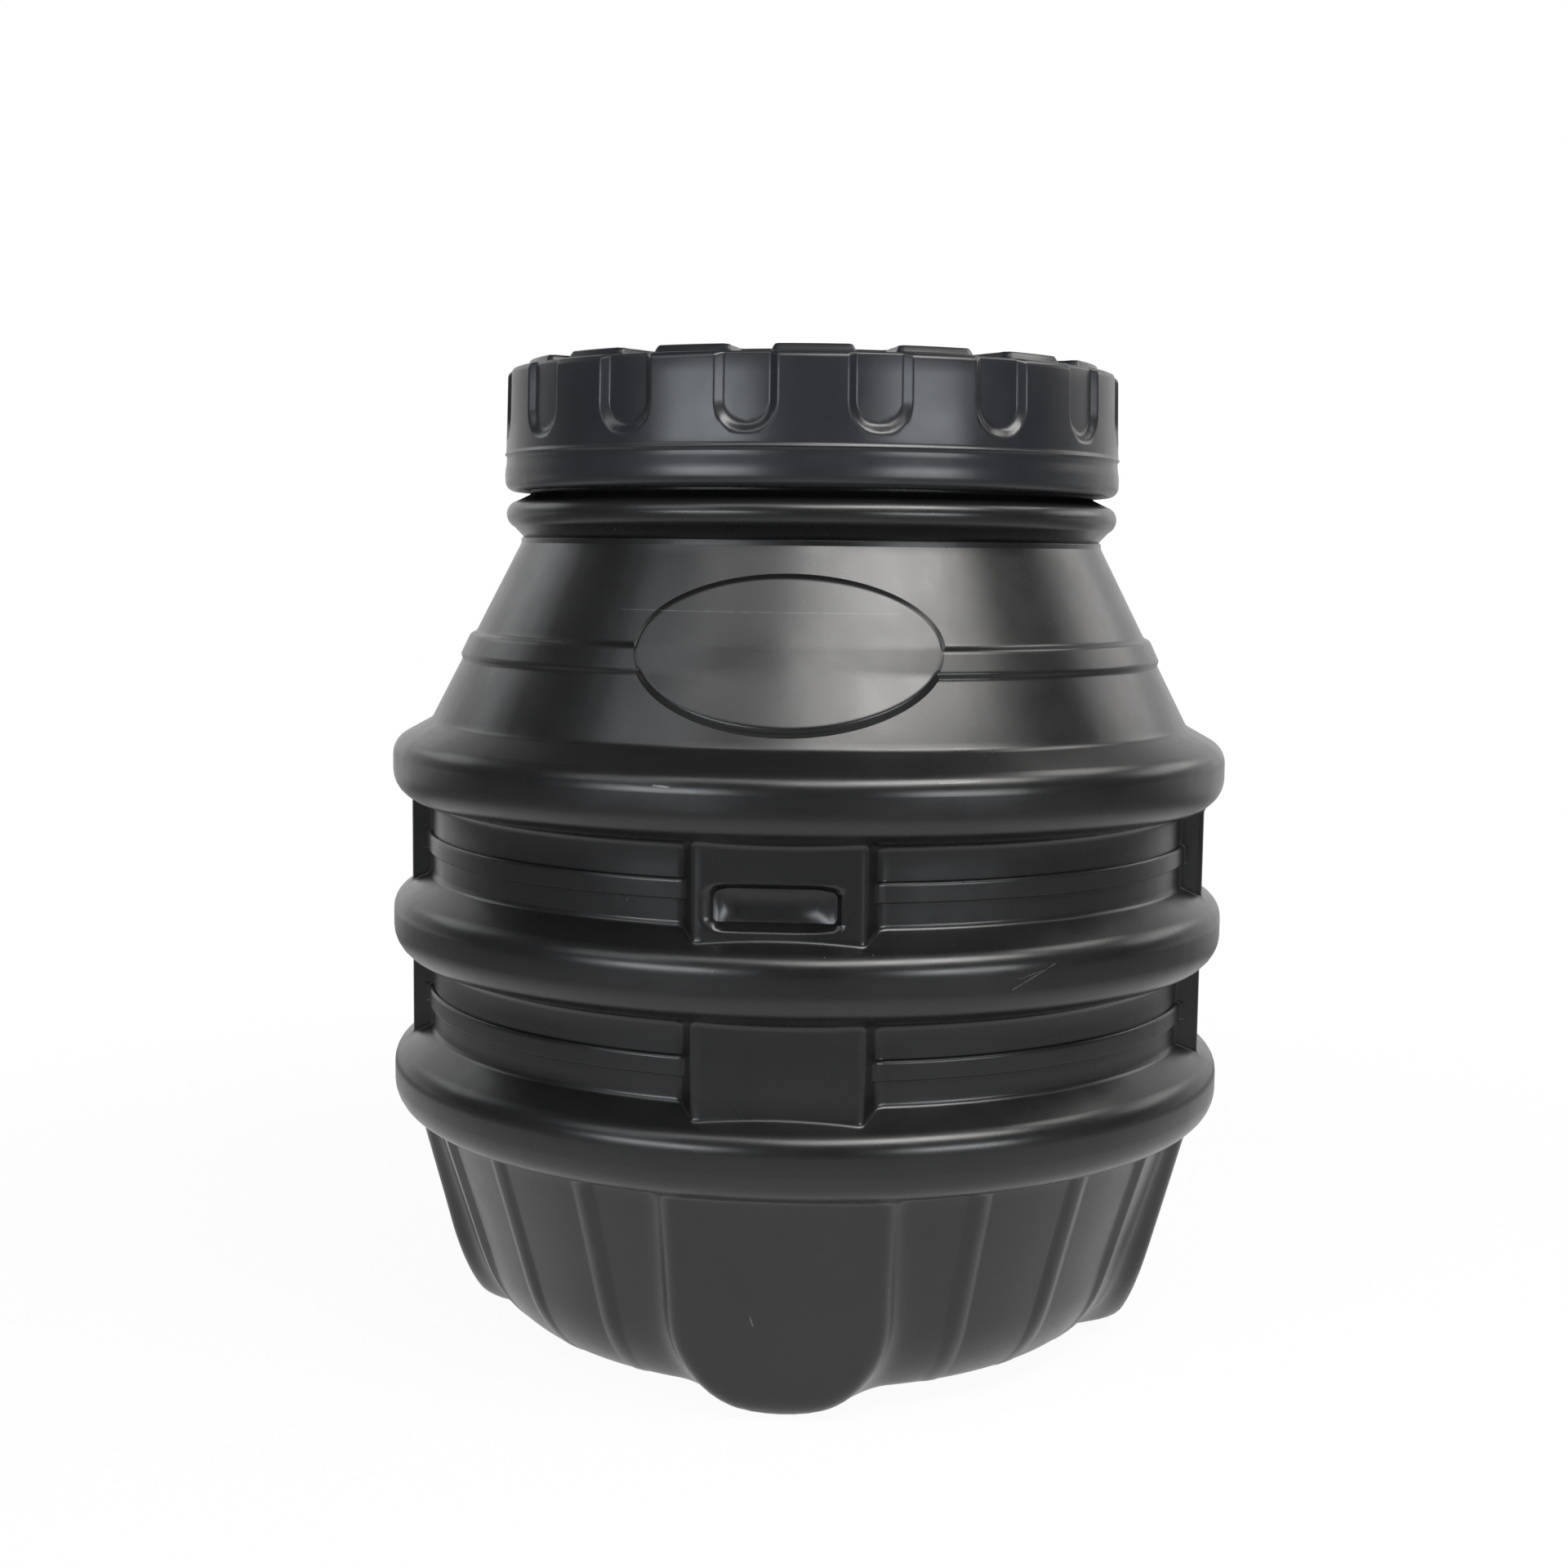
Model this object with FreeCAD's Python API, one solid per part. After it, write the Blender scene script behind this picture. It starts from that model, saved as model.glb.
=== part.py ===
"""Water meter chamber: a ringed, hollow moulded body with a screw lid on a seal.

Millimetres, +Z up, origin on the ground below the middle, front panel towards -Y.
"""
import FreeCAD
import Part
import math
import os

V = FreeCAD.Vector
AXIS_POINT = V(0, 0, 0)
UP = V(0, 0, 1)

# Shell of the chamber and its plain wall, which most radii follow
WALL = 5.0
WALL_R = 295.0
QUARTER_TURN = 90.0
SIDES = 4

# Skirt below the rings, with its base held off the ground by the feet
FOOT_HEIGHT = 9.4
SKIRT_HEIGHT = 165.1
SKIRT_STEP = 1.4
SKIRT_SLOPE = 0.3895
SKIRT_FOOT_ROUND = 32.0

# Three stiffening rings with plain bays between them
RING_COUNT = 3
RING_DEPTH = 30.0
RING_FACE = 44.5
RING_SHOULDER = 18.0
RING_LOW_ROUND = 23.0
RING_TOP_ROUND = 8.0
BAY_HEIGHT = 58.5

# Thin raised bands round the plain bays
BAND_RISE = 17.7
BAND_HEIGHT = 15.0
BAND_PROUD = 2.3
BAND_DRAFT = 1.5

# Neck that the lid goes on, which the bead, the cone's top and the lid follow
NECK_R = 219.0
NECK_HEIGHT = 75.0

# Cone from the top ring up to the bead
CONE_SHOULDER = 16.0
CONE_STEP = 0.5
CONE_HEIGHT = 138.0
CONE_LEDGE = 6.0

# Belt round the cone, prouder along its upper edge
BELT_RISE = 48.0
BELT_HEIGHT = 18.0
BELT_LOW_PROUD = 2.5
BELT_HIGH_PROUD = 3.4
BELT_DRAFT = 2.0

# Bare oval plaque on the front of the cone
PLAQUE_RISE = 62.5
PLAQUE_HALF_WIDTH = 103.5
PLAQUE_HALF_HEIGHT = 54.0
PLAQUE_LOW_PROUD = 5.5
PLAQUE_HIGH_PROUD = 3.4

# Bead under the lid
BEAD_DEPTH = 19.8
BEAD_UNDERCUT = 11.0
BEAD_HEIGHT = 19.0
BEAD_TOP = 5.0
BEAD_LOW_ROUND = 18.0
BEAD_HIGH_ROUND = 10.0

# Flat panels on the four sides, between the rings
PANEL_PROUD = 11.2
PANEL_HALF_WIDTH = 57.0
PANEL_DRAFT = 0.55
PANEL_ROOT = 30.0
PANEL_ROUND = 4.0

# Hand grips sunk into the front and back upper panels
GRIP_BAY = 1
GRIP_RISE = 15.5
GRIP_WIDTH = 86.0
GRIP_HEIGHT = 33.0
GRIP_DEPTH = 22.0
GRIP_CORNER = 9.0
GRIP_FLOOR_ROUND = 7.0

# Lobes down the skirt on the four sides, whose lower ends are the feet
LOBE_PROUD = 19.9
LOBE_SLOPE = 0.2712
LOBE_FOOT_ROUND = 20.0
LOBE_FOOT_LENGTH = 63.0
LOBE_HEEL_RUN = 30.0
LOBE_HEEL_ROUND = 10.0
LOBE_REACH = 57.0
LOBE_HALF_WIDTH = 77.0
LOBE_TAPER = 0.09
LOBE_DRAFT = 0.25
LOBE_FACE_FOOT_Z = 16.0
LOBE_CORNER = 66.0

# Narrow ribs down the skirt between the lobes
RIB_ANGLES = (28.0, 45.0, 62.0)
RIB_PROUD = 5.0
RIB_HALF_WIDTH = 7.0
RIB_SPREAD = 4.0
RIB_ROOT = 8.0
RIB_FADE_ROUND = 46.0

# Screw lid, whose bore and roof follow the neck
LID_THREAD_GAP = 8.5
LID_WALL = 10.9
LID_GAP = 7.0
LID_BAND = 28.0
LID_BOTTOM_ROUND = 8.0
LID_SEAM_STEP = 0.8
LID_RIM_INSET = 2.2
LID_RIM_THICKNESS = 7.3
LID_RIM_ROUND = 9.0
LID_ROOF = 6.0
LID_CROWN_INSET = 8.2
LID_CROWN_HEIGHT = 8.5
LID_CROWN_SLOPE = 5.0

# Grip recesses round the lid, each running up into a notch in the crown
LID_GRIPS = 16
LID_GRIP_PHASE = 3.5
LID_GRIP_RISE = 11.0
LID_GRIP_HALF_WIDTH = 22.5
LID_GRIP_FLOOR_HALF_WIDTH = 17.5
LID_GRIP_DEPTH = 4.5
LID_GRIP_ROUNDNESS = 0.9
LID_NOTCH_LENGTH = 46.0
LID_NOTCH_HALF_WIDTH = 13.0
LID_NOTCH_SPREAD = 6.0

# Seal between the neck's rim and the lid, and the rib that centres it
SEAL_THICKNESS = 8.6
SEAL_WIDTH = 9.0
SEAL_CHAMFER = 2.0
SEAL_CLEARANCE = 0.3
SEAL_RIB = 3.0

# How far a tool body reaches past what it cuts
OVERCUT = 10.0

# Radii that follow from the sizes above
RING_R = WALL_R + RING_DEPTH
SKIRT_TOP_R = WALL_R + SKIRT_STEP
SKIRT_FOOT_R = SKIRT_TOP_R - SKIRT_SLOPE * SKIRT_HEIGHT
CONE_FOOT_R = WALL_R + CONE_STEP
CONE_TOP_R = NECK_R + CONE_LEDGE
BEAD_R = NECK_R + BEAD_DEPTH
LID_BORE_R = NECK_R + LID_THREAD_GAP
LID_R = LID_BORE_R + LID_WALL
LID_RIM_R = LID_R - LID_RIM_INSET
LID_CROWN_R = LID_RIM_R - LID_CROWN_INSET
LID_NOTCH_END_R = LID_CROWN_R - LID_NOTCH_LENGTH

# Distances of the panels' faces and of the lobes' feet from the axis
PANEL_DISTANCE = WALL_R + PANEL_PROUD
LOBE_FOOT_D = SKIRT_FOOT_R + LOBE_PROUD
LOBE_HEEL_D = LOBE_FOOT_D - LOBE_FOOT_LENGTH
LOBE_FACE_D = LOBE_FOOT_D + LOBE_REACH

# Heights that follow from the sizes above, from the ground up
SKIRT_TOP_Z = FOOT_HEIGHT + SKIRT_HEIGHT
RING_PITCH = RING_FACE + RING_SHOULDER + BAY_HEIGHT
CONE_FOOT_Z = SKIRT_TOP_Z + RING_PITCH * (RING_COUNT - 1) + RING_FACE + CONE_SHOULDER
CONE_TOP_Z = CONE_FOOT_Z + CONE_HEIGHT
BELT_LOW_Z = CONE_FOOT_Z + BELT_RISE
BELT_HIGH_Z = BELT_LOW_Z + BELT_HEIGHT
PLAQUE_Z = CONE_FOOT_Z + PLAQUE_RISE
BEAD_LOW_Z = CONE_TOP_Z + BEAD_UNDERCUT
BEAD_HIGH_Z = BEAD_LOW_Z + BEAD_HEIGHT
NECK_FOOT_Z = BEAD_HIGH_Z + BEAD_TOP
NECK_TOP_Z = NECK_FOOT_Z + NECK_HEIGHT
LID_BOTTOM_Z = BEAD_HIGH_Z + LID_GAP
LID_SEAM_Z = LID_BOTTOM_Z + LID_BAND
LID_GRIP_FOOT_Z = LID_SEAM_Z + LID_GRIP_RISE
LID_ROOF_Z = NECK_TOP_Z + SEAL_THICKNESS + 2 * SEAL_CLEARANCE
LID_RIM_Z = LID_ROOF_Z + LID_RIM_THICKNESS
LID_TOP_Z = LID_RIM_Z + LID_CROWN_HEIGHT


def rounded_face(corners, place):
    """A flat face whose corners (a, b, radius) are joined by straight runs and tangent arcs."""
    edges = []
    points = [V(a, b, 0) for a, b, _ in corners]
    spans = []
    for index, corner in enumerate(points):
        radius = corners[index][2]
        to_last = (points[index - 1] - corner).normalize()
        to_next = (points[(index + 1) % len(points)] - corner).normalize()
        if radius == 0:
            spans.append((corner, None, corner))
            continue
        half = to_last.getAngle(to_next) / 2
        reach = radius / math.tan(half)
        bisector = (to_last + to_next).normalize()
        middle = corner + bisector * (radius / math.sin(half) - radius)
        spans.append((corner + to_last * reach, middle, corner + to_next * reach))
    for index, (start, middle, end) in enumerate(spans):
        if middle is not None:
            edges.append(Part.Arc(place(start), place(middle), place(end)).toShape())
        next_start = spans[(index + 1) % len(spans)][0]
        edges.append(Part.LineSegment(place(end), place(next_start)).toShape())
    return Part.Face(Part.Wire(edges))


def in_section(point):
    """Radius and height to the half plane through the axis."""
    return V(point.x, 0, point.y)


def in_plan(point):
    """Sizes seen from above to the base plane."""
    return V(point.x, point.y, 0)


def turned(corners):
    """A solid of revolution from corners (radius, height, round)."""
    return rounded_face(corners, in_section).revolve(AXIS_POINT, UP, 360)


def inset(corners, depth):
    """Corners moved inwards by depth, with their rounds, on an outline with its inside to the left."""
    points = [V(a, b, 0) for a, b, _ in corners]
    lines = []
    for start, end in zip(points, points[1:]):
        along = (end - start).normalize()
        inward = V(-along.y, along.x, 0)
        lines.append((start + inward * depth, along))
    moved = [lines[0][0]]
    for (base_a, along_a), (base_b, along_b) in zip(lines, lines[1:]):
        cross = along_a.x * along_b.y - along_a.y * along_b.x
        gap = base_b - base_a
        reach = (gap.x * along_b.y - gap.y * along_b.x) / cross
        moved.append(base_a + along_a * reach)
    last_base, last_along = lines[-1]
    moved.append(last_base + last_along * (points[-1] - points[-2]).Length)
    rounds = [max(radius - depth, 0) for _, _, radius in corners]
    return [(point.x, point.y, radius) for point, radius in zip(moved, rounds)]


def around(shape, angles):
    """Copies of a shape turned about the axis."""
    copies = []
    for angle in angles:
        copy = shape.copy()
        copy.rotate(AXIS_POINT, UP, angle)
        copies.append(copy)
    return copies


def side_angles():
    """The directions of the four sides, from the front round."""
    return [-QUARTER_TURN + QUARTER_TURN * side for side in range(SIDES)]


def ring_low_z(ring):
    """Underside of a stiffening ring, counted from the lowest."""
    return SKIRT_TOP_Z + RING_PITCH * ring


def ring_shoulder_z(ring):
    """Where a ring's sloping top meets the wall above it."""
    return ring_low_z(ring) + RING_FACE + RING_SHOULDER


def cone_point(height, proud):
    """Radius and height of a point that stands proud of the cone."""
    run = V(CONE_TOP_R - CONE_FOOT_R, CONE_TOP_Z - CONE_FOOT_Z, 0)
    share = (height - CONE_FOOT_Z) / run.y
    normal = V(run.y, -run.x, 0).normalize()
    radius = CONE_FOOT_R + run.x * share
    return radius + normal.x * proud, height + normal.y * proud


def skirt_r(height):
    """Radius of the plain skirt at a height."""
    share = (height - FOOT_HEIGHT) / (SKIRT_TOP_Z - FOOT_HEIGHT)
    return SKIRT_FOOT_R + (SKIRT_TOP_R - SKIRT_FOOT_R) * share


def body_outline():
    """The chamber's outer corners, from the base centre up to the neck's rim."""
    corners = [(0, FOOT_HEIGHT, 0)]
    corners.append((SKIRT_FOOT_R, FOOT_HEIGHT, SKIRT_FOOT_ROUND))
    corners.append((SKIRT_TOP_R, SKIRT_TOP_Z, 0))
    for ring in range(RING_COUNT):
        low = ring_low_z(ring)
        corners.append((RING_R, low, RING_LOW_ROUND))
        corners.append((RING_R, low + RING_FACE, RING_TOP_ROUND))
        if ring < RING_COUNT - 1:
            corners.append((WALL_R, ring_shoulder_z(ring), 0))
            corners.append((WALL_R, ring_low_z(ring + 1), 0))
    corners.append((CONE_FOOT_R, CONE_FOOT_Z, 0))
    corners.append((CONE_TOP_R, CONE_TOP_Z, 0))
    corners.append((BEAD_R, BEAD_LOW_Z, BEAD_LOW_ROUND))
    corners.append((BEAD_R, BEAD_HIGH_Z, BEAD_HIGH_ROUND))
    corners.append((NECK_R, NECK_FOOT_Z, 0))
    corners.append((NECK_R, NECK_TOP_Z, 0))
    return corners


def body_core(depth, top_z):
    """The turned body, inset by depth and closed at top_z."""
    corners = inset(body_outline(), depth)
    neck_r = corners[-1][0]
    return turned(corners[:-1] + [(neck_r, top_z, 0), (0, top_z, 0)])


def panel_block(depth):
    """One flat panel from the lowest ring up to the highest, inset by depth."""
    face = PANEL_DISTANCE - depth
    half = PANEL_HALF_WIDTH - depth
    root_half = half + PANEL_ROOT * PANEL_DRAFT
    root = PANEL_DISTANCE - PANEL_ROOT
    corners = [
        (root, -root_half, 0),
        (face, -half, PANEL_ROUND),
        (face, half, PANEL_ROUND),
        (root, root_half, 0),
    ]
    low = ring_low_z(0) + RING_FACE / 2
    high = ring_low_z(RING_COUNT - 1) + RING_FACE / 2
    block = rounded_face(corners, in_plan).extrude(V(0, 0, high - low))
    block.translate(V(0, 0, low))
    return block


def lobe_end(distance, depth, top_z):
    """The lobe's U-shaped outline on an upright plane at a distance from the axis, inset by depth."""
    spread = LOBE_DRAFT * (LOBE_FACE_D - distance) - depth
    foot_z = LOBE_FACE_FOOT_Z - spread
    top_half = LOBE_HALF_WIDTH + spread
    foot_half = top_half - LOBE_TAPER * (top_z - foot_z)
    corners = [
        (-foot_half, foot_z, LOBE_CORNER + spread),
        (foot_half, foot_z, LOBE_CORNER + spread),
        (top_half, top_z, 0),
        (-top_half, top_z, 0),
    ]
    return rounded_face(corners, lambda point: V(distance, point.x, point.y)).OuterWire


def lobe_block(depth):
    """One lobe: a sloping flat face on drafted sides, rounded at its foot, inset by depth."""
    top = SKIRT_TOP_Z + RING_FACE / 4
    heel = LOBE_HEEL_D - LOBE_HEEL_RUN
    profile = inset([
        (heel, FOOT_HEIGHT + WALL, 0),
        (LOBE_HEEL_D, 0, LOBE_HEEL_ROUND),
        (LOBE_FOOT_D, 0, LOBE_FOOT_ROUND),
        (LOBE_FOOT_D + LOBE_SLOPE * top, top, 0),
    ], depth)
    profile.append((profile[0][0], profile[-1][1], 0))
    slab_half = RING_R / 2
    slab = rounded_face(profile, in_section).extrude(V(0, 2 * slab_half, 0))
    slab.translate(V(0, -slab_half, 0))
    ends = [lobe_end(distance, depth, top + OVERCUT) for distance in (LOBE_FACE_D, heel - OVERCUT)]
    return slab.common(Part.makeLoft(ends, True, True))


def skirt_ribs():
    """Narrow ribs down the skirt that fade out at its foot."""
    top = SKIRT_TOP_Z + RING_FACE / 4
    wires = []
    for height in (FOOT_HEIGHT, top):
        surface = skirt_r(height)
        outer = surface + RIB_PROUD
        root = surface - RIB_ROOT
        root_half = RIB_HALF_WIDTH + RIB_SPREAD * (RIB_PROUD + RIB_ROOT) / RIB_PROUD
        outline = [
            V(root, -root_half, height),
            V(outer, -RIB_HALF_WIDTH, height),
            V(outer, RIB_HALF_WIDTH, height),
            V(root, root_half, height),
        ]
        wires.append(Part.makePolygon(outline + outline[:1]))
    rib = Part.makeLoft(wires, True, True)
    limit = turned([
        (0, FOOT_HEIGHT, 0),
        (SKIRT_FOOT_R + RIB_PROUD, FOOT_HEIGHT, RIB_FADE_ROUND),
        (skirt_r(top) + RIB_PROUD, top, 0),
        (0, top, 0),
    ])
    rib = rib.common(limit)
    angles = [side + step for side in side_angles() for step in RIB_ANGLES]
    return around(rib, angles)


def wall_bands():
    """Thin raised bands round the plain wall, one in each bay between rings."""
    bands = []
    for bay in range(RING_COUNT - 1):
        low = ring_shoulder_z(bay) + BAND_RISE
        high = low + BAND_HEIGHT
        bands.append(turned([
            (WALL_R - WALL / 2, low, 0),
            (WALL_R, low, 0),
            (WALL_R + BAND_PROUD, low + BAND_DRAFT, 0),
            (WALL_R + BAND_PROUD, high - BAND_DRAFT, 0),
            (WALL_R, high, 0),
            (WALL_R - WALL / 2, high, 0),
        ]))
    return bands


def cone_belt():
    """The belt round the cone."""
    sunk = -WALL / 2
    return turned([
        (*cone_point(BELT_LOW_Z, sunk), 0),
        (*cone_point(BELT_LOW_Z, 0), 0),
        (*cone_point(BELT_LOW_Z + BELT_DRAFT, BELT_LOW_PROUD), 0),
        (*cone_point(BELT_HIGH_Z - BELT_DRAFT, BELT_HIGH_PROUD), 0),
        (*cone_point(BELT_HIGH_Z, 0), 0),
        (*cone_point(BELT_HIGH_Z, sunk), 0),
    ])


def plaque():
    """The bare oval plaque, a slice of a thicker cone cut out by an ellipse from the front."""
    low = PLAQUE_Z - PLAQUE_HALF_HEIGHT - OVERCUT
    high = PLAQUE_Z + PLAQUE_HALF_HEIGHT + OVERCUT
    sunk = -WALL / 2
    blank = turned([
        (*cone_point(low, sunk), 0),
        (*cone_point(low, PLAQUE_LOW_PROUD), 0),
        (*cone_point(high, PLAQUE_HIGH_PROUD), 0),
        (*cone_point(high, sunk), 0),
    ])
    centre = V(0, 0, PLAQUE_Z)
    side = V(PLAQUE_HALF_WIDTH, 0, PLAQUE_Z)
    top = V(0, 0, PLAQUE_Z + PLAQUE_HALF_HEIGHT)
    oval = Part.Ellipse(side, top, centre)
    prism = Part.Face(Part.Wire(oval.toShape())).extrude(V(0, -RING_R, 0))
    return blank.common(prism)


def grip_block(margin):
    """The hand grip's space, grown by margin on its sides and floor."""
    middle = ring_shoulder_z(GRIP_BAY) + GRIP_RISE
    half_width = GRIP_WIDTH / 2 + margin
    half_height = GRIP_HEIGHT / 2 + margin
    corner = GRIP_CORNER + margin
    corners = [
        (-half_width, middle - half_height, corner),
        (half_width, middle - half_height, corner),
        (half_width, middle + half_height, corner),
        (-half_width, middle + half_height, corner),
    ]
    floor_d = PANEL_DISTANCE - GRIP_DEPTH - margin
    face = rounded_face(corners, lambda point: V(floor_d, point.x, point.y))
    block = face.extrude(V(RING_R - floor_d, 0, 0))
    if margin:
        return block
    floor = min(block.Faces, key=lambda side: side.CenterOfMass.x)
    return block.makeFillet(GRIP_FLOOR_ROUND, floor.Edges)


def chamber_body():
    """The one-piece hollow chamber."""
    sides = side_angles()
    ends = sides[::2]
    outer = body_core(0, NECK_TOP_Z)
    added = around(panel_block(0), sides) + around(lobe_block(0), sides)
    added += skirt_ribs() + wall_bands() + [cone_belt(), plaque()]
    outer = outer.fuse(added)
    cavity = body_core(WALL, NECK_TOP_Z + OVERCUT)
    cavity = cavity.fuse(around(panel_block(WALL), sides) + around(lobe_block(WALL), sides))
    cavity = cavity.cut(around(grip_block(WALL), ends))
    return outer.cut(cavity).cut(around(grip_block(0), ends)).removeSplitter()


def lid_wall_r(height):
    """Outer radius of the lid's wall above the seam."""
    foot = LID_R - LID_SEAM_STEP
    share = (height - LID_SEAM_Z) / (LID_RIM_Z - LID_SEAM_Z)
    return foot + (LID_RIM_R - foot) * share


def seal_inner_r():
    """Inner radius of the seal, centred on the neck's rim."""
    return NECK_R - WALL / 2 - SEAL_WIDTH / 2


def lid_blank():
    """The lid's turned outer form with its crown."""
    return turned([
        (0, LID_BOTTOM_Z, 0),
        (LID_R, LID_BOTTOM_Z, LID_BOTTOM_ROUND),
        (LID_R, LID_SEAM_Z, 0),
        (LID_R - LID_SEAM_STEP, LID_SEAM_Z, 0),
        (LID_RIM_R, LID_RIM_Z, LID_RIM_ROUND),
        (LID_CROWN_R, LID_RIM_Z, 0),
        (LID_CROWN_R - LID_CROWN_SLOPE, LID_TOP_Z, 0),
        (0, LID_TOP_Z, 0),
    ])


def lid_grip_cutter():
    """One grip recess up the lid's wall with the notch that it runs into."""
    high = LID_TOP_Z + OVERCUT
    wires = []
    outer_r = LID_R + OVERCUT
    floor_r = LID_RIM_R - LID_GRIP_DEPTH
    flare = (LID_GRIP_HALF_WIDTH - LID_GRIP_FLOOR_HALF_WIDTH) / LID_GRIP_DEPTH
    for distance in (floor_r - OVERCUT, outer_r):
        half = LID_GRIP_FLOOR_HALF_WIDTH + flare * (distance - floor_r)
        foot = LID_GRIP_FOOT_Z + LID_GRIP_HALF_WIDTH - half
        corner = half * LID_GRIP_ROUNDNESS
        corners = [(-half, foot, corner), (half, foot, corner), (half, high, 0), (-half, high, 0)]
        wires.append(rounded_face(corners, lambda point: V(distance, point.x, point.y)).OuterWire)
    recess = Part.makeLoft(wires, True, True)
    floor = turned([
        (0, LID_BOTTOM_Z, 0),
        (lid_wall_r(LID_BOTTOM_Z) - LID_GRIP_DEPTH, LID_BOTTOM_Z, 0),
        (LID_RIM_R - LID_GRIP_DEPTH, LID_RIM_Z, LID_RIM_ROUND - LID_GRIP_DEPTH),
        (0, LID_RIM_Z, 0),
    ])
    notch_wires = []
    for height in (LID_RIM_Z, high):
        spread = LID_NOTCH_SPREAD * (height - LID_RIM_Z) / (LID_TOP_Z - LID_RIM_Z)
        half = LID_NOTCH_HALF_WIDTH + spread
        end = LID_NOTCH_END_R - spread
        notch_wires.append(Part.makePolygon([
            V(end, -half, height),
            V(outer_r, -half, height),
            V(outer_r, half, height),
            V(end, half, height),
            V(end, -half, height),
        ]))
    return recess.cut(floor).fuse(Part.makeLoft(notch_wires, True, True))


def screw_lid():
    """The hollow lid with its grips, bore and seal rib."""
    step = 360.0 / LID_GRIPS
    first = LID_GRIP_PHASE - QUARTER_TURN + step / 2
    grips = around(lid_grip_cutter(), [first + step * grip for grip in range(LID_GRIPS)])
    roof = LID_ROOF_Z
    rib_outer = seal_inner_r() - SEAL_CLEARANCE
    rib_inner = rib_outer - SEAL_RIB
    bore = turned([
        (0, LID_BOTTOM_Z - OVERCUT, 0),
        (LID_BORE_R, LID_BOTTOM_Z - OVERCUT, 0),
        (LID_BORE_R, roof, 0),
        (rib_outer, roof, 0),
        (rib_outer, roof - SEAL_THICKNESS, 0),
        (rib_inner, roof - SEAL_THICKNESS, 0),
        (rib_inner, roof, 0),
        (LID_NOTCH_END_R - LID_NOTCH_SPREAD - LID_ROOF, roof, 0),
        (LID_NOTCH_END_R - LID_NOTCH_SPREAD - 2 * LID_ROOF, LID_TOP_Z - LID_ROOF, 0),
        (0, LID_TOP_Z - LID_ROOF, 0),
    ])
    return lid_blank().cut(bore).cut(grips).removeSplitter()


def lid_seal():
    """The rubber ring between the neck's rim and the lid."""
    inner = seal_inner_r()
    outer = inner + SEAL_WIDTH
    low = NECK_TOP_Z + SEAL_CLEARANCE
    high = low + SEAL_THICKNESS
    return turned([
        (inner + SEAL_CHAMFER, low, 0),
        (outer - SEAL_CHAMFER, low, 0),
        (outer, low + SEAL_CHAMFER, 0),
        (outer, high - SEAL_CHAMFER, 0),
        (outer - SEAL_CHAMFER, high, 0),
        (inner + SEAL_CHAMFER, high, 0),
        (inner, high - SEAL_CHAMFER, 0),
        (inner, low + SEAL_CHAMFER, 0),
    ])


def main():
    """Build the three pieces and write each to its own file."""
    os.makedirs("parts", exist_ok=True)
    for piece in (chamber_body, screw_lid, lid_seal):
        shape = piece().Solids[0]
        print(piece.__name__, "valid" if shape.isValid() else "broken", round(shape.Volume), "cubic mm")
        shape.exportStep("parts/" + piece.__name__ + ".step")


main()
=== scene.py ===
"""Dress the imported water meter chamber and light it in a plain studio.

Sizes are in millimetres and become metres where a mesh is made. Angles are in degrees about the chamber's
axis, from the middle of the front panel, which faces -Y, anticlockwise as seen from above.
"""

import logging
import math
from dataclasses import dataclass, field
from enum import Enum
from typing import Any, ClassVar

import bmesh
import bpy
import numpy as np
from mathutils import Matrix, Vector

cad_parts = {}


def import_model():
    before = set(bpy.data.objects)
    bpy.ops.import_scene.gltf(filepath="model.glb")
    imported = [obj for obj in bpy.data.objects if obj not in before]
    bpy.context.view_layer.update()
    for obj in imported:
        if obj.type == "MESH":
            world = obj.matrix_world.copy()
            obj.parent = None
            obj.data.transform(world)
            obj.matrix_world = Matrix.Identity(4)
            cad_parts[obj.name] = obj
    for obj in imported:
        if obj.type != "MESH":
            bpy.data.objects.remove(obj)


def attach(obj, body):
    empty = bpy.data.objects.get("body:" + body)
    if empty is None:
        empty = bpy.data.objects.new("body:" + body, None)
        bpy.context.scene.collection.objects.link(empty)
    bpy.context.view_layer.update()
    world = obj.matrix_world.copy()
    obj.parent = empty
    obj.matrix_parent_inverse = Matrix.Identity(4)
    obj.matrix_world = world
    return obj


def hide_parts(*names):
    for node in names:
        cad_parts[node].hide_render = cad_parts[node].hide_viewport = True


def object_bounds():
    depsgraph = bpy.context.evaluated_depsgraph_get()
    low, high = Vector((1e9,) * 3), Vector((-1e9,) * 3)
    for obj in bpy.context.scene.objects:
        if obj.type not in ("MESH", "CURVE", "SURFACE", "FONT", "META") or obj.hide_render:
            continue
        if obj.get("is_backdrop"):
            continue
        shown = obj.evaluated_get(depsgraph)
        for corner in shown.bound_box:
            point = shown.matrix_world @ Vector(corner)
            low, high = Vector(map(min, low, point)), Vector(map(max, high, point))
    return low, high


LOG = logging.getLogger("water_meter_chamber")
MM = 0.001
PHOTO_PIXELS = 1920
QUARTER_TURN = 90.0
SAMPLES = 2001
NOISE_RANGE = (0.3, 0.7)
WHITE = (1.0, 1.0, 1.0, 1.0)
MERGE_GAP = 1e-6
SHARP_ANGLE = math.radians(55.0)

Field = np.ndarray
Pair = tuple[float, float]
Colour = tuple[float, float, float, float]
Socket = bpy.types.NodeSocket


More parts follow.
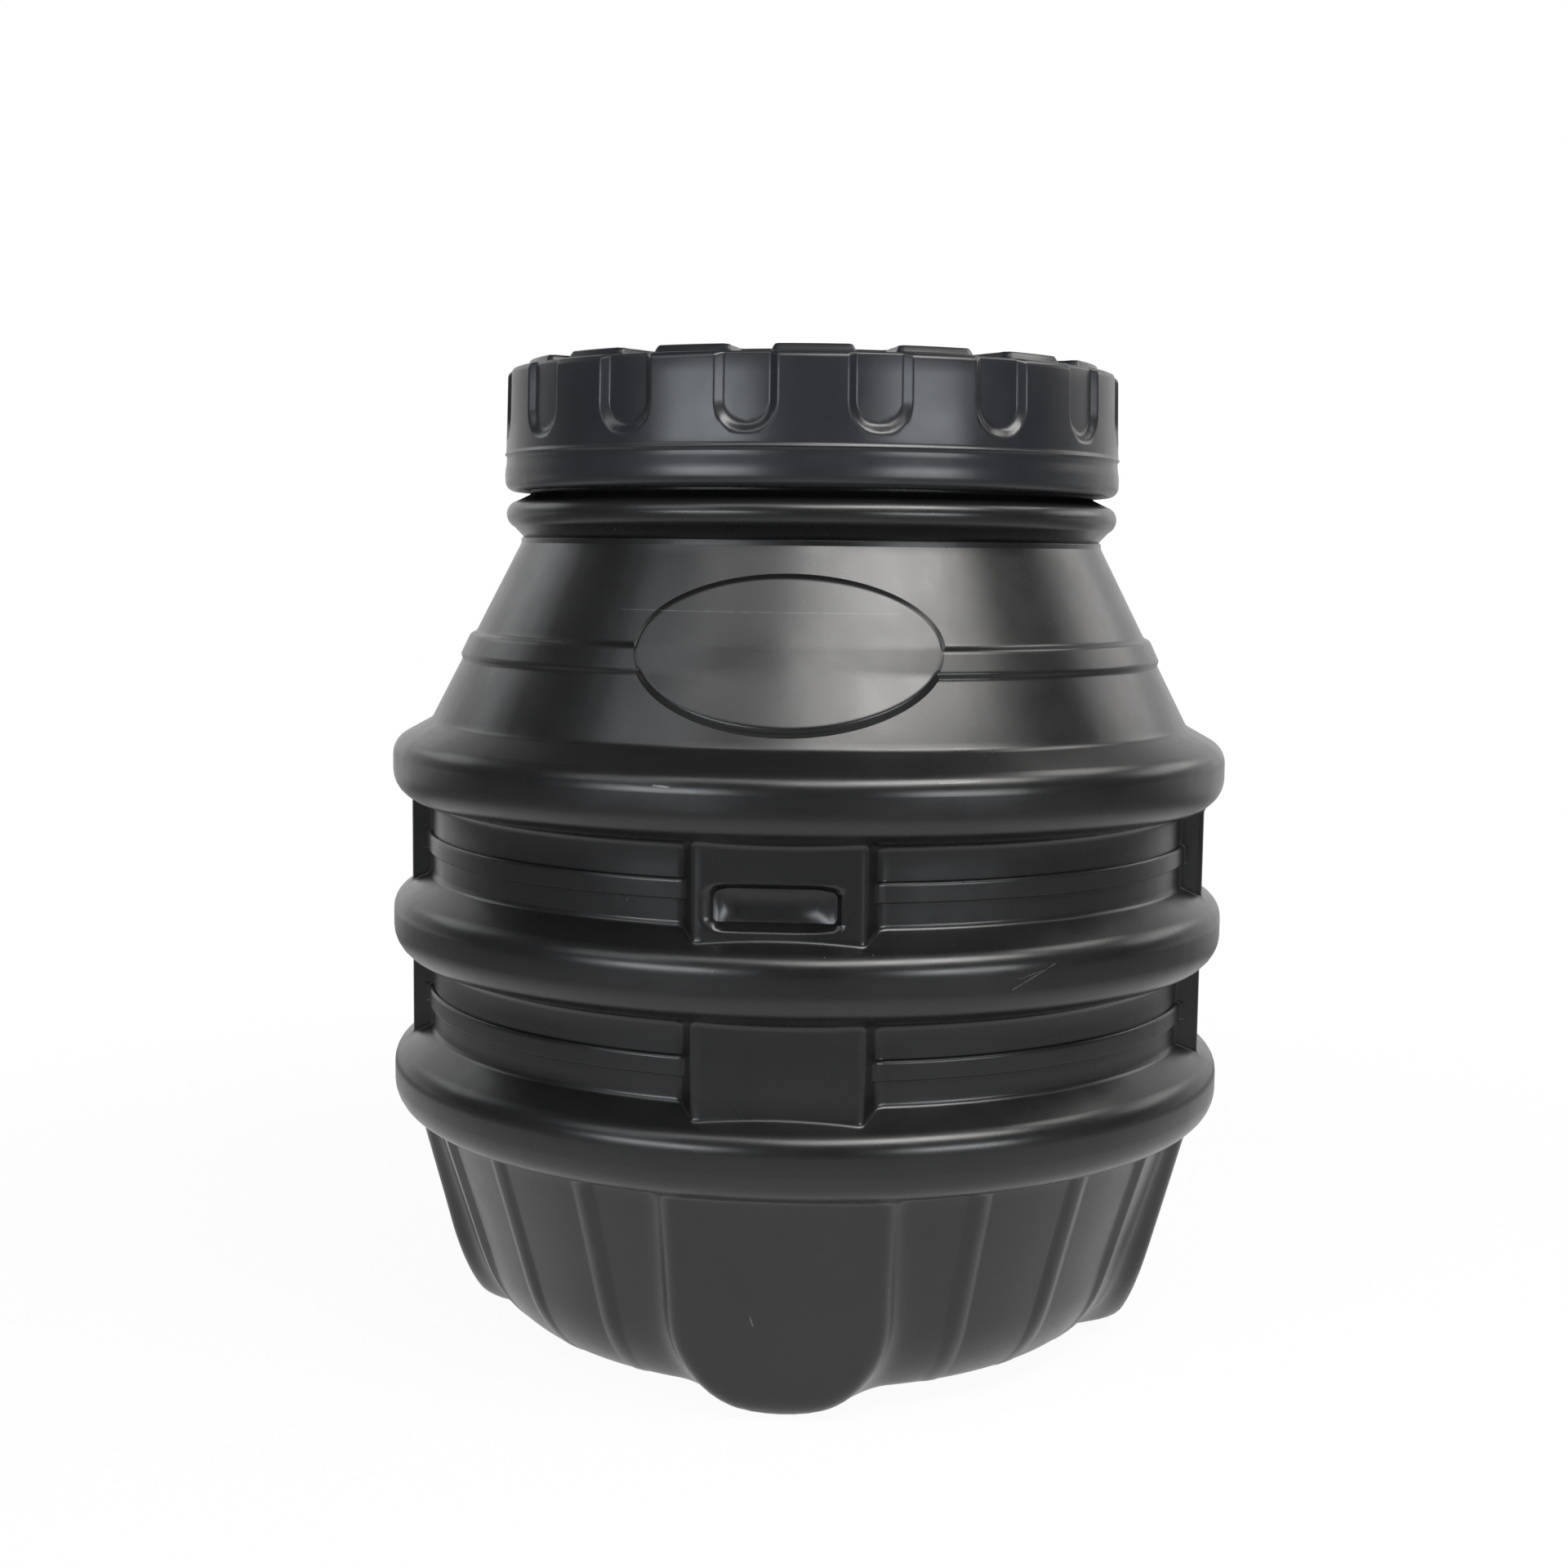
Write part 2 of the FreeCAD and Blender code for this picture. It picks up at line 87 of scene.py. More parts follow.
def soft_max(one: Field, other: Field | float, reach: Field | float) -> Field:
    """Join two fields by the larger, with the corner between them rounded.

    Args:
        one: A field of distances.
        other: Another field, or one number.
        reach: How far apart the fields still blend.

    Returns:
        The blended field.
    """
    near = np.maximum(reach - np.abs(one - other), 0.0)
    return np.maximum(one, other) + near * near / (4.0 * reach)


def soft_min(one: Field, other: Field | float, reach: Field | float) -> Field:
    """Join two fields by the smaller, with the corner between them rounded."""
    return -soft_max(-one, -other, reach)


def ease(value: Field, low: float, high: float) -> Field:
    """Rise smoothly from 0 at low to 1 at high."""
    share = np.clip((value - low) / (high - low), 0.0, 1.0)
    return share * share * (3.0 - 2.0 * share)


def running_total(density: Field) -> Field:
    """Add a density up along its samples, from 0 at the first."""
    return np.concatenate([[0.0], np.cumsum((density[1:] + density[:-1]) / 2.0)])


def rounded_box(across: Field, up: Field, half_width: float, half_height: float, corner: float) -> Field:
    """Measure how far points lie outside a rectangle with rounded corners.

    Args:
        across: Sideways distances from the middle.
        up: Upward distances from the middle.
        half_width: Half the rectangle's width.
        half_height: Half the rectangle's height.
        corner: Radius of its corners.

    Returns:
        Distances, below zero inside.
    """
    past_side = np.abs(across) - half_width + corner
    past_end = np.abs(up) - half_height + corner
    outside = np.hypot(np.maximum(past_side, 0.0), np.maximum(past_end, 0.0))
    return outside + np.minimum(np.maximum(past_side, past_end), 0.0) - corner


def placed_object(name: str, data: bpy.types.ID) -> bpy.types.Object:
    """Make an object and put it in the scene.

    Args:
        name: The object's name.
        data: Its mesh, lamp or camera.

    Returns:
        The object, at the origin.
    """
    made = bpy.data.objects.new(name, data)
    bpy.context.scene.collection.objects.link(made)
    return made


@dataclass(frozen=True)
class Crowd:
    """A place where columns or rows stand closer together."""

    middle: float
    width: float
    weight: float

    def density(self, value: Field) -> Field:
        """Give how much closer together they stand at each value."""
        return self.weight * np.exp(-(((value - self.middle) / self.width) ** 2))


@dataclass
class Section:
    """The wall's section in every column at once, as rows of radii and heights."""

    columns: int
    radii: list[Field] = field(default_factory=list)
    heights: list[Field] = field(default_factory=list)

    def spread(self, value: Field | float) -> Field:
        """Give every column its own copy of a value."""
        return np.broadcast_to(np.asarray(value, float), (self.columns,)).copy()

    def point(self, radius: Field | float, height: Field | float) -> Field:
        """Make a corner of the section, with a radius and a height in each column."""
        return np.stack([self.spread(radius), self.spread(height)])

    def add(self, radius: Field | float, height: Field | float) -> None:
        """Add one row to the section."""
        self.radii.append(self.spread(radius))
        self.heights.append(self.spread(height))

    def arc(self, before: Field, corner: Field, after: Field, radius: Field | float, steps: int) -> None:
        """Add the rows of an arc that rounds a corner.

        Args:
            before: A point on the run that comes to the corner.
            corner: The corner itself.
            after: A point on the run that leaves the corner.
            radius: The arc's radius.
            steps: How many spans the arc has.
        """
        back = (before - corner) / np.hypot(*(before - corner))
        ahead = (after - corner) / np.hypot(*(after - corner))
        half = np.arccos(np.clip((back * ahead).sum(0), -1.0, 1.0)) / 2.0
        middle = (back + ahead) / np.hypot(*(back + ahead))
        centre = corner + middle * (radius / np.sin(half))
        reach = radius / np.tan(half)
        from_centre = (corner + back * reach - centre) / radius
        to_centre = (corner + ahead * reach - centre) / radius
        sweep = math.pi - 2.0 * half
        for step in range(steps + 1):
            share = step / steps
            turn = from_centre * np.sin((1.0 - share) * sweep) + to_centre * np.sin(share * sweep)
            self.add(*(centre + turn / np.sin(sweep) * radius))

    def sweep(self, centre: Pair, radius: float, start: Field | float, end: float, steps: int) -> None:
        """Add the rows of an arc about a centre.

        Args:
            centre: The arc's centre, as a radius and a height.
            radius: The arc's own radius.
            start: Where it starts, in radians above level, in each column or in all.
            end: Where it ends.
            steps: How many spans the arc has.
        """
        for share in np.linspace(0.0, 1.0, steps + 1):
            turn = self.spread(start) * (1.0 - share) + end * share
            self.add(centre[0] + radius * np.cos(turn), centre[1] + radius * np.sin(turn))


@dataclass
class TurnedShell:
    """A closed shell that is spun from a section, whose columns may each have a section of their own."""

    name: str
    body: str
    node: str
    slot: str

    def angles(self) -> Field:
        """Give the columns' angles in radians, from the front round."""
        raise NotImplementedError

    def section(self, angles: Field) -> Section:
        """Give the section's rows in every column."""
        raise NotImplementedError

    def spun(self, section: Section) -> bmesh.types.BMesh:
        """Spin the front column's section into a shell whose vertices keep their row.

        Args:
            section: The rows, of which the front column is spun.

        Returns:
            The spun shell, as a new bmesh with a layer named row.
        """
        shell = bmesh.new()
        row_layer = shell.verts.layers.int.new("row")
        line = []
        for row, (radius, height) in enumerate(zip(section.radii, section.heights)):
            vertex = shell.verts.new((0.0, -radius[0] * MM, height[0] * MM))
            vertex[row_layer] = row
            line.append(vertex)
        edges = [shell.edges.new(pair) for pair in zip(line, line[1:])]
        bmesh.ops.spin(
            shell, geom=line + edges, cent=(0, 0, 0), axis=(0, 0, 1), dvec=(0, 0, 0),
            angle=2.0 * math.pi, steps=section.columns, use_merge=True, use_duplicate=False,
        )
        return shell

    def mesh(self) -> bpy.types.Object:
        """Spin the shell, move each vertex to its own column's section and finish the mesh.

        Returns:
            The finished object, in metres and at the origin.
        """
        angles = self.angles()
        section = self.section(angles)
        radii = np.stack(section.radii) * MM
        heights = np.stack(section.heights) * MM
        shell = self.spun(section)
        row_layer = shell.verts.layers.int["row"]
        step = 2.0 * math.pi / section.columns
        for vertex in shell.verts:
            column = round(math.atan2(vertex.co.x, -vertex.co.y) / step) % section.columns
            row = vertex[row_layer]
            vertex.co = self.placed(radii[row, column], angles[column], heights[row, column])
        return self.finished(shell)

    def build(self, material: bpy.types.Material) -> bpy.types.Object:
        """Make the piece and dress it.

        Args:
            material: The material of all its faces.

        Returns:
            The dressed piece.
        """
        piece = self.mesh()
        piece.data.materials.append(material)
        return piece

    def placed(self, radius: float, angle: float, height: float) -> tuple[float, float, float]:
        """Give the place of a point of the section, in metres."""
        return radius * math.sin(angle), -radius * math.cos(angle), height

    def finished(self, shell: bmesh.types.BMesh) -> bpy.types.Object:
        """Close the poles, turn the faces outwards, shade them and make the object.

        Args:
            shell: The shaped shell, which is freed.

        Returns:
            The object, which rides on its body and stands for its node if it has one.
        """
        bmesh.ops.remove_doubles(shell, verts=shell.verts[:], dist=MERGE_GAP)
        bmesh.ops.dissolve_degenerate(shell, edges=shell.edges[:], dist=MERGE_GAP)
        bmesh.ops.recalc_face_normals(shell, faces=shell.faces[:])
        for face in shell.faces:
            face.smooth = True
        for edge in shell.edges:
            edge.smooth = edge.calc_face_angle(0.0) < SHARP_ANGLE
        data = bpy.data.meshes.new(self.name)
        shell.to_mesh(data)
        shell.free()
        piece = placed_object(self.name, data)
        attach(piece, self.body)
        if self.node:
            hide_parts(self.node)
        return piece


@dataclass
class Thread:
    """A coarse right-hand thread that stands on the neck or in the lid."""

    low: float
    high: float
    phase: float
    pitch: float = 24.0
    depth: float = 5.5
    crest_half: float = 2.2
    flank: float = 3.2
    fade: float = 7.0

    def relief(self, angles: Field, height: float) -> Field:
        """Give how far the thread stands out round one row.

        Args:
            angles: The columns' angles in radians.
            height: The row's height.

        Returns:
            The thread's relief in each column.
        """
        along = height - self.phase - self.pitch * angles / (2.0 * math.pi)
        off_crest = np.abs((along / self.pitch + 0.5) % 1.0 - 0.5) * self.pitch
        ends = min(height - self.low, self.high - height) / self.fade
        stand = max(0.0, min(1.0, ends))
        return self.depth * stand * (1.0 - ease(off_crest, self.crest_half, self.crest_half + self.flank))


@dataclass
class Skirt:
    """The chamber's base, its sloping skirt, the lobes that end in feet and the narrow ribs."""

    base_z: float = 9.4
    top_z: float = 174.5
    top_r: float = 296.4
    slope: float = 0.315
    foot_round: float = 84.0
    foot_blend: float = 67.0
    base_blend: float = 6.0
    lobe_foot_d: float = 252.0
    lobe_slope: float = 0.2712
    lobe_foot_blend: float = 17.0
    heel_d: float = 189.0
    heel_slope: float = 14.4 / 30.0
    heel_blend: float = 14.0
    lobe_face_d: float = 309.0
    lobe_half_width: float = 77.0
    lobe_width_z: float = 195.0
    lobe_taper: float = 0.09
    lobe_draft: float = 0.25
    lobe_bottom_z: float = 11.5
    lobe_corner: float = 66.0
    lobe_edge: float = 9.0
    lobe_fillet: float = 12.0
    rib_angles: tuple[float, ...] = (28.0, 45.0)
    rib_proud: float = 3.2
    rib_half_width: float = 5.6
    rib_spread: float = 0.5
    rib_edge: float = 1.3
    rib_fillet: float = 1.6
    rib_fade: Pair = (12.0, 85.0)
    search: Pair = (-14.0, 48.0)
    halvings: int = 24
    base_rows: tuple[float, ...] = (70.0, 130.0, 149.0, 156.0, 163.0, 170.0, 177.0)
    round_rows: tuple[float, float, int] = (0.06, 1.0, 21)
    slope_rows: tuple[float, float, int] = (66.0, 161.0, 13)
    level_aim: Pair = (60.0, 150.0)

    def plain_r(self, height: Field | float) -> Field | float:
        """Radius of the bare skirt at a height."""
        return self.top_r - self.slope * (self.top_z - height)

    def plain(self, radius: Field, height: Field) -> Field:
        """Measure how far points lie outside the bare skirt and base, with a rounded edge between them.

        Args:
            radius: Distances from the axis.
            height: Heights.

        Returns:
            Distances, below zero inside.
        """
        side = (radius - self.plain_r(height)) / math.hypot(1.0, self.slope)
        bowl = soft_max(side, -height, self.foot_blend)
        return soft_max(bowl, self.base_z - height, self.base_blend)

    def lobe(self, out: Field, across: Field, height: Field) -> Field:
        """Measure how far points lie outside the lobe of their own side.

        Args:
            out: Distances from the axis along the side's direction.
            across: Distances sideways from the side's middle.
            height: Heights.

        Returns:
            Distances, below zero inside.
        """
        face = (out - self.lobe_foot_d - self.lobe_slope * height) / math.hypot(1.0, self.lobe_slope)
        heel = (-self.heel_slope * (out - self.heel_d) - height) / math.hypot(1.0, self.heel_slope)
        slab = soft_max(soft_max(face, -height, self.lobe_foot_blend), heel, self.heel_blend)
        spread = self.lobe_draft * (self.lobe_face_d - out)
        half = self.lobe_half_width + spread - self.lobe_taper * (self.lobe_width_z - height)
        corner = self.lobe_corner + spread
        past_side = np.abs(across) - half + corner
        past_foot = self.lobe_bottom_z - spread - height + corner
        past_both = np.hypot(np.maximum(past_side, 0.0), np.maximum(past_foot, 0.0))
        outline = past_both + np.minimum(np.maximum(past_side, past_foot), 0.0) - corner
        return soft_max(slab, outline / math.hypot(1.0, self.lobe_draft), self.lobe_edge)

    def rib(self, radius: Field, off_angle: Field, height: Field) -> Field:
        """Measure how far points lie outside a rib.

        Args:
            radius: Distances from the axis.
            off_angle: Angles from the rib's middle, in radians.
            height: Heights.

        Returns:
            Distances, below zero inside.
        """
        crest = self.plain(radius, height) - self.rib_proud * ease(height, *self.rib_fade)
        flank = np.abs(radius * np.sin(off_angle)) - self.rib_half_width + self.rib_spread * crest
        return soft_max(crest, flank / math.hypot(1.0, self.rib_spread), self.rib_edge)

    def outside(self, angles: Field, radius: Field, height: Field) -> Field:
        """Measure how far points lie outside the skirt with its lobes and ribs.

        Args:
            angles: The columns' angles in radians.
            radius: Distances from the axis.
            height: Heights.

        Returns:
            Distances, below zero inside.
        """
        quarter = math.radians(QUARTER_TURN)
        from_side = (angles + quarter / 2.0) % quarter - quarter / 2.0
        shape = self.plain(radius, height)
        for rib_angle in self.rib_angles:
            off_rib = np.abs(from_side) - math.radians(rib_angle)
            shape = soft_min(shape, self.rib(radius, off_rib, height), self.rib_fillet)
        lobe = self.lobe(radius * np.cos(from_side), radius * np.sin(from_side), height)
        return soft_min(shape, lobe, self.lobe_fillet)

    def rays(self) -> list[tuple[float, float, float]]:
        """Choose the rays that find the skirt's rows.

        Returns:
            A radius, a height and an aim in degrees above level for each row, from the base up.
        """
        rays = [(radius, self.base_z, -QUARTER_TURN) for radius in self.base_rows]
        normal = math.degrees(math.atan(self.slope))
        middle_z = self.foot_round
        middle_r = self.plain_r(middle_z) - self.foot_round * math.hypot(1.0, self.slope)
        for share in np.linspace(*self.round_rows):
            aim = -QUARTER_TURN + (QUARTER_TURN - normal) * share
            out = self.foot_round * math.cos(math.radians(aim))
            up = self.foot_round * math.sin(math.radians(aim))
            rays.append((middle_r + out, middle_z + up, aim))
        for height in np.linspace(*self.slope_rows):
            aim = -normal * (1.0 - float(ease(height, *self.level_aim)))
            rays.append((float(self.plain_r(height)), float(height), aim))
        return rays

    def surface(self, angles: Field, radius: float, height: float, aim: float, depth: float) -> Field:
        """Find the skirt's surface along a ray in every column, by halving.

        Args:
            angles: The columns' angles in radians.
            radius: Where the ray crosses the bare skirt.
            height: The height of that point.
            aim: The ray's angle above level, in degrees.
            depth: How deep below the outer surface the point lies.

        Returns:
            The radii and the heights of the points.
        """
        step_r = math.cos(math.radians(aim))
        step_z = math.sin(math.radians(aim))
        low = np.full(angles.shape, self.search[0])
        high = np.full(angles.shape, self.search[1])
        for _ in range(self.halvings):
            middle = (low + high) / 2.0
            outside = self.outside(angles, radius + step_r * middle, height + step_z * middle) + depth
            low = np.where(outside < 0.0, middle, low)
            high = np.where(outside < 0.0, high, middle)
        return np.stack([radius + step_r * low, height + step_z * low])


@dataclass
class Cone:
    """The cone between the top ring and the neck, with its belt and the oval that carries the plaque."""

    foot: Pair = (295.3, 477.0)
    top: Pair = (226.2, 612.6)
    belt_low: float = 525.0
    belt_high: float = 543.0
    belt_low_proud: float = 2.7
    belt_high_proud: float = 3.3
    belt_low_run: float = 3.5
    belt_high_run: float = 5.5
    oval_z: float = 539.5
    oval_half_width: float = 107.5
    oval_half_height: float = 54.0
    oval_low_proud: float = 4.6
    oval_high_proud: float = 3.0
    under_plaque: Pair = (-0.45, -0.28)
    row_count: int = 36
    row_span: Pair = (483.0, 606.0)
    row_spread: float = 0.3
    edge_crowd: Pair = (4.0, 2.2)

    def radius(self, height: float) -> float:
        """Radius of the bare cone at a height."""
        share = (height - self.foot[1]) / (self.top[1] - self.foot[1])
        return self.foot[0] + (self.top[0] - self.foot[0]) * share

    def lean(self) -> Pair:
        """Find the way that the cone's surface faces.

        Returns:
            The outward and the upward part of its normal.
        """
        inward = self.foot[0] - self.top[0]
        rise = self.top[1] - self.foot[1]
        length = math.hypot(inward, rise)
        return rise / length, inward / length

    def rows(self) -> list[float]:
        """Choose the heights of the cone's rows, close together at the belt's edges.

        Returns:
            The heights, from the lowest up.
        """
        fine = np.linspace(*self.row_span, SAMPLES)
        density = np.full(fine.shape, self.row_spread)
        for spot in (self.belt_low, self.belt_high):
            density += Crowd(spot, *self.edge_crowd).density(fine)
        total = np.cumsum(density)
        wanted = np.linspace(total[0], total[-1], self.row_count)
        return [float(height) for height in np.interp(wanted, total, fine)]

    def proud(self, height: Field | float) -> Field | float:
        """Give how far the plaque stands off the cone, level with the belt where they meet.

        Args:
            height: A height on the cone, or one in each column.

        Returns:
            The plaque's stand there.
        """
        low, high = self.oval_z - self.oval_half_height, self.oval_z + self.oval_half_height
        stands = (self.oval_low_proud, self.belt_low_proud, self.belt_high_proud, self.oval_high_proud)
        return np.interp(height, (low, self.belt_low, self.belt_high, high), stands)

    def belt(self, angles: Field, height: float) -> Field:
        """Give how far the belt stands off the cone round one row, ending under the plaque.

        Args:
            angles: The columns' angles in radians.
            height: The row's height.

        Returns:
            The belt's relief in each column.
        """
        at = np.array(height)
        low_half, high_half = self.belt_low_run / 2.0, self.belt_high_run / 2.0
        rise = ease(at, self.belt_low - low_half, self.belt_low + low_half)
        fall = ease(at, self.belt_high - high_half, self.belt_high + high_half)
        across = self.radius(height) * np.sin(angles) / self.oval_half_width
        past_oval = np.hypot(across, (height - self.oval_z) / self.oval_half_height) - 1.0
        shown = np.where(np.cos(angles) > 0.0, ease(past_oval, *self.under_plaque), 1.0)
        return float(self.proud(height) * rise * (1.0 - fall)) * shown


@dataclass
class FrontPlaque(TurnedShell):
    """The bare oval plaque on the cone's front, laid on the cone as a lens with a rounded edge."""

    columns: int = 160
    lift: float = 0.12
    sunk: float = 1.5
    face: tuple[float, ...] = (0.0, 0.2, 0.4, 0.58, 0.72, 0.84, 0.93, 1.0)
    face_inset: float = 7.0
    edge: tuple[Pair, ...] = (
        (6.0, 1.0), (5.2, 0.988), (4.4, 0.95), (3.7, 0.87), (3.0, 0.74), (2.4, 0.58),
        (1.8, 0.41), (1.2, 0.26), (0.6, 0.13), (0.0, 0.04), (-0.6, -0.3),
    )
    mouth_stand: float = 0.88
    mouth_ends: Pair = (2.0, 3.0)
    cone: Cone = field(default_factory=Cone)

    def turns(self) -> Field:
        """Space the columns evenly along the oval, from its lowest point round."""
        return np.arange(self.columns) / self.columns * 2.0 * math.pi

    def angles(self) -> Field:
        """Point each column from the oval's middle.

        Returns:
            The columns' directions in radians, from straight down round.
        """
        turns = self.turns()
        wide, high = self.cone.oval_half_width, self.cone.oval_half_height
        return np.arctan2(wide * np.sin(turns), high * np.cos(turns))

    def section(self, angles: Field) -> Section:
        """Run from the face's middle over the rounded edge to the underside's middle.

        Args:
            angles: The columns' directions in radians.

        Returns:
            The rows, with distances from the oval's middle and reliefs as their heights.
        """
        section = Section(self.columns)
        wide, high = self.cone.oval_half_width, self.cone.oval_half_height
        turns = self.turns()
        reach = np.hypot(wide * np.sin(turns), high * np.cos(turns))
        along = np.cos(angles - np.arctan2(np.sin(turns) / wide, np.cos(turns) / high))

        rows = [(share, self.face_inset, 1.0) for share in self.face]
        rows += [(1.0, inset, stand) for inset, stand in self.edge]
        rows += [(share, self.face_inset, -1.0) for share in (1.0, 0.5, 0.0)]
        for share, inset, stand in rows:
            out = share * (reach - inset / along)
            height = self.cone.oval_z - out * np.cos(angles)
            section.add(out, self.relief(height, stand))
        return section

    def relief(self, height: Field, stand: float) -> Field:
        """Give how far one row stands off the cone, with the edge left open where the belt runs in.

        Args:
            height: The row's height on the cone in each column.
            stand: The row's share of the plaque's stand, below zero for the sunk underside.

        Returns:
            The relief in each column.
        """
        if stand < 0.0:
            return np.full(height.shape, stand * self.sunk)
        low, high = self.cone.belt_low, self.cone.belt_high
        past_low = ease(height, low, low + self.mouth_ends[0])
        mouth = past_low * (1.0 - ease(height, high - self.mouth_ends[1], high))
        open_stand = self.mouth_stand + (1.0 - self.mouth_stand) * stand
        return (self.cone.proud(height) + self.lift) * (stand + mouth * (open_stand - stand))

    def placed(self, radius: float, angle: float, height: float) -> tuple[float, float, float]:
        """Lay a point of the oval on the cone and lift it by its relief.

        Args:
            radius: The point's distance from the oval's middle, in metres.
            angle: Its direction from there, in radians.
            height: Its relief, in metres.

        Returns:
            The point's place, in metres.
        """
        across = radius * math.sin(angle)
        level = self.cone.oval_z * MM - radius * math.cos(angle)
        cone_r = self.cone.radius(level / MM) * MM
        out, up = self.cone.lean()
        around = math.asin(across / cone_r)
        out_r = cone_r + height * out
        return out_r * math.sin(around), -out_r * math.cos(around), level + height * up


@dataclass
class ChamberShell(TurnedShell):
    """The one-piece moulded chamber: skirt, rings, panels, grips, cone, bead and threaded neck."""

    columns: int = 320
    column_samples: int = 14401
    column_spread: float = 0.42
    side_crowds: tuple[Crowd, ...] = (Crowd(8.0, 1.1, 1.0), Crowd(11.4, 1.5, 2.2), Crowd(16.0, 2.2, 1.3))
    rib_crowd: Crowd = Crowd(1.9, 0.9, 1.7)
    wall: float = 5.0
    wall_r: float = 295.0
    ring_r: float = 325.0
    ring_count: int = 3
    ring_pitch: float = 121.0
    ring_face: float = 45.5
    top_ring_face: float = 44.0
    ring_shoulder: float = 17.0
    ring_low_round: float = 23.0
    ring_top_round: float = 17.0
    landing_limit: float = 0.9
    crease: float = 7.0
    shoulder_crease: float = 5.0
    band_rise: float = 17.7
    band_height: float = 15.0
    band_proud: float = 3.0
    band_low_run: float = 1.2
    band_top_run: float = 3.0
    band_edge_shares: tuple[float, ...] = (-0.25, 0.0, 0.06, 0.22, 0.5, 0.8, 1.0, 1.4)
    band_margins: Pair = (9.0, 7.0)
    panel_d: float = 306.2
    panel_half_width: float = 57.0
    panel_draft: float = 0.5
    panel_edge: float = 1.9
    panel_fillet: float = 1.9
    grip_z: float = 373.5
    grip_aside: float = 3.0
    grip_half_width: float = 43.0
    grip_half_height: float = 14.8
    grip_corner: float = 9.0
    grip_depth: float = 22.0
    grip_lip: float = 2.2
    grip_run: float = 7.5
    grip_edge_rows: tuple[float, ...] = (-4.0, -2.0, -0.5, 1.0, 2.5, 4.0, 5.5, 7.5, 10.0)
    cone_crease: float = 9.0
    cone_edge: float = 0.6
    ledge: Pair = (226.0, 616.3)
    ledge_edge: float = 0.7
    bead_neck: Pair = (224.4, 617.6)
    bead_r: float = 237.4
    bead_z: float = 635.0
    bead_low_round: float = 11.5
    bead_high_round: float = 10.0
    bead_low_turn: float = -62.0
    bead_high_turn: float = 75.0
    bead_join: float = 0.1
    neck_r: float = 219.0
    neck_foot: float = 650.0
    neck_top: float = 725.0
    neck_edge: float = 1.6
    neck_fillet: float = 1.5
    thread_margin: float = 3.0
    thread_rows: int = 17
    inner_rim_drop: float = 25.0
    inner_step: float = 4.0
    inner_bead: tuple[float, float, float] = (2.0, 4.0, 7.0)
    inner_cone: tuple[float, float, float] = (1.5, 2.0, 4.0)
    inner_ring_drop: float = 2.0
    inner_crease: float = 3.0
    inner_wall_rows: Pair = (30.0, 4.0)
    inner_grip_edge: float = 7.0
    inner_grip_foot: float = 0.5
    inner_foot_drop: float = 6.0
    inner_ray_step: int = 3
    skirt: Skirt = field(default_factory=Skirt)
    cone: Cone = field(default_factory=Cone)
    thread: Thread = field(default_factory=lambda: Thread(low=656.0, high=719.0, phase=660.0))

    def angles(self) -> Field:
        """Crowd the columns round the edges of the panels, lobes, grips and ribs.

        Returns:
            The columns' angles in radians, from the front round.
        """
        fine = np.linspace(-math.pi, math.pi, self.column_samples)
        off_side = np.abs((np.degrees(fine) + QUARTER_TURN / 2.0) % QUARTER_TURN - QUARTER_TURN / 2.0)
        density = np.full(fine.shape, self.column_spread)
        for crowd in self.side_crowds:
            density += crowd.density(off_side)
        for rib_angle in self.skirt.rib_angles:
            density += self.rib_crowd.density(np.abs(off_side - rib_angle))
        total = running_total(density)
        at_front = np.interp(0.0, fine, total)
        wanted = (at_front + np.arange(self.columns) / self.columns * total[-1]) % total[-1]
        return np.interp(wanted, total, fine)

    def ring_low(self, ring: int) -> float:
        """Height of a ring's underside, counted from the lowest."""
        return self.skirt.top_z + self.ring_pitch * ring

    def grip_bay(self) -> int:
        """Give the bay that has the hand grips, which is the highest."""
        return self.ring_count - 2

    def panel_r(self, angles: Field) -> Field:
        """Lay the nearest side's flat panel, with its drafted edges.

        Args:
            angles: The columns' angles in radians.

        Returns:
            The panel's radius in each column.
        """
        quarter = math.radians(QUARTER_TURN)
        off = np.abs((angles + quarter / 2.0) % quarter - quarter / 2.0)
        face = self.panel_d / np.cos(off)
        root = self.panel_half_width + self.panel_d * self.panel_draft
        side = root / (np.sin(off) + self.panel_draft * np.cos(off))
        return soft_min(face, side, self.panel_edge)

    def band(self, bay: int, height: float) -> float:
        """Give how far a bay's raised band stands off the wall.

        Args:
            bay: Which bay, counted from the lowest.
            height: The height.

        Returns:
            The band's relief, which is 0 away from the band.
        """
        low = self.ring_low(bay) + self.ring_face + self.ring_shoulder + self.band_rise
        from_low = (height - low) / self.band_low_run
        from_top = (low + self.band_height - height) / self.band_top_run
        short = 1.0 - min(1.0, max(0.0, min(from_low, from_top)))
        return self.band_proud * math.sqrt(1.0 - short * short)

    def grip_sink(self, angles: Field, height: float) -> Field:
        """Give how deep the front and back hand grips are sunk round one row.

        Args:
            angles: The columns' angles in radians.
            height: The row's height.

        Returns:
            The depth in each column.
        """
        across = self.panel_d * np.tan(np.clip(np.arcsin(np.sin(angles)), -1.0, 1.0)) + self.grip_aside
        up = np.full(angles.shape, height - self.grip_z)
        off = rounded_box(across, up, self.grip_half_width, self.grip_half_height, self.grip_corner)
        return self.grip_depth * ease(-off, -self.grip_lip, self.grip_run)

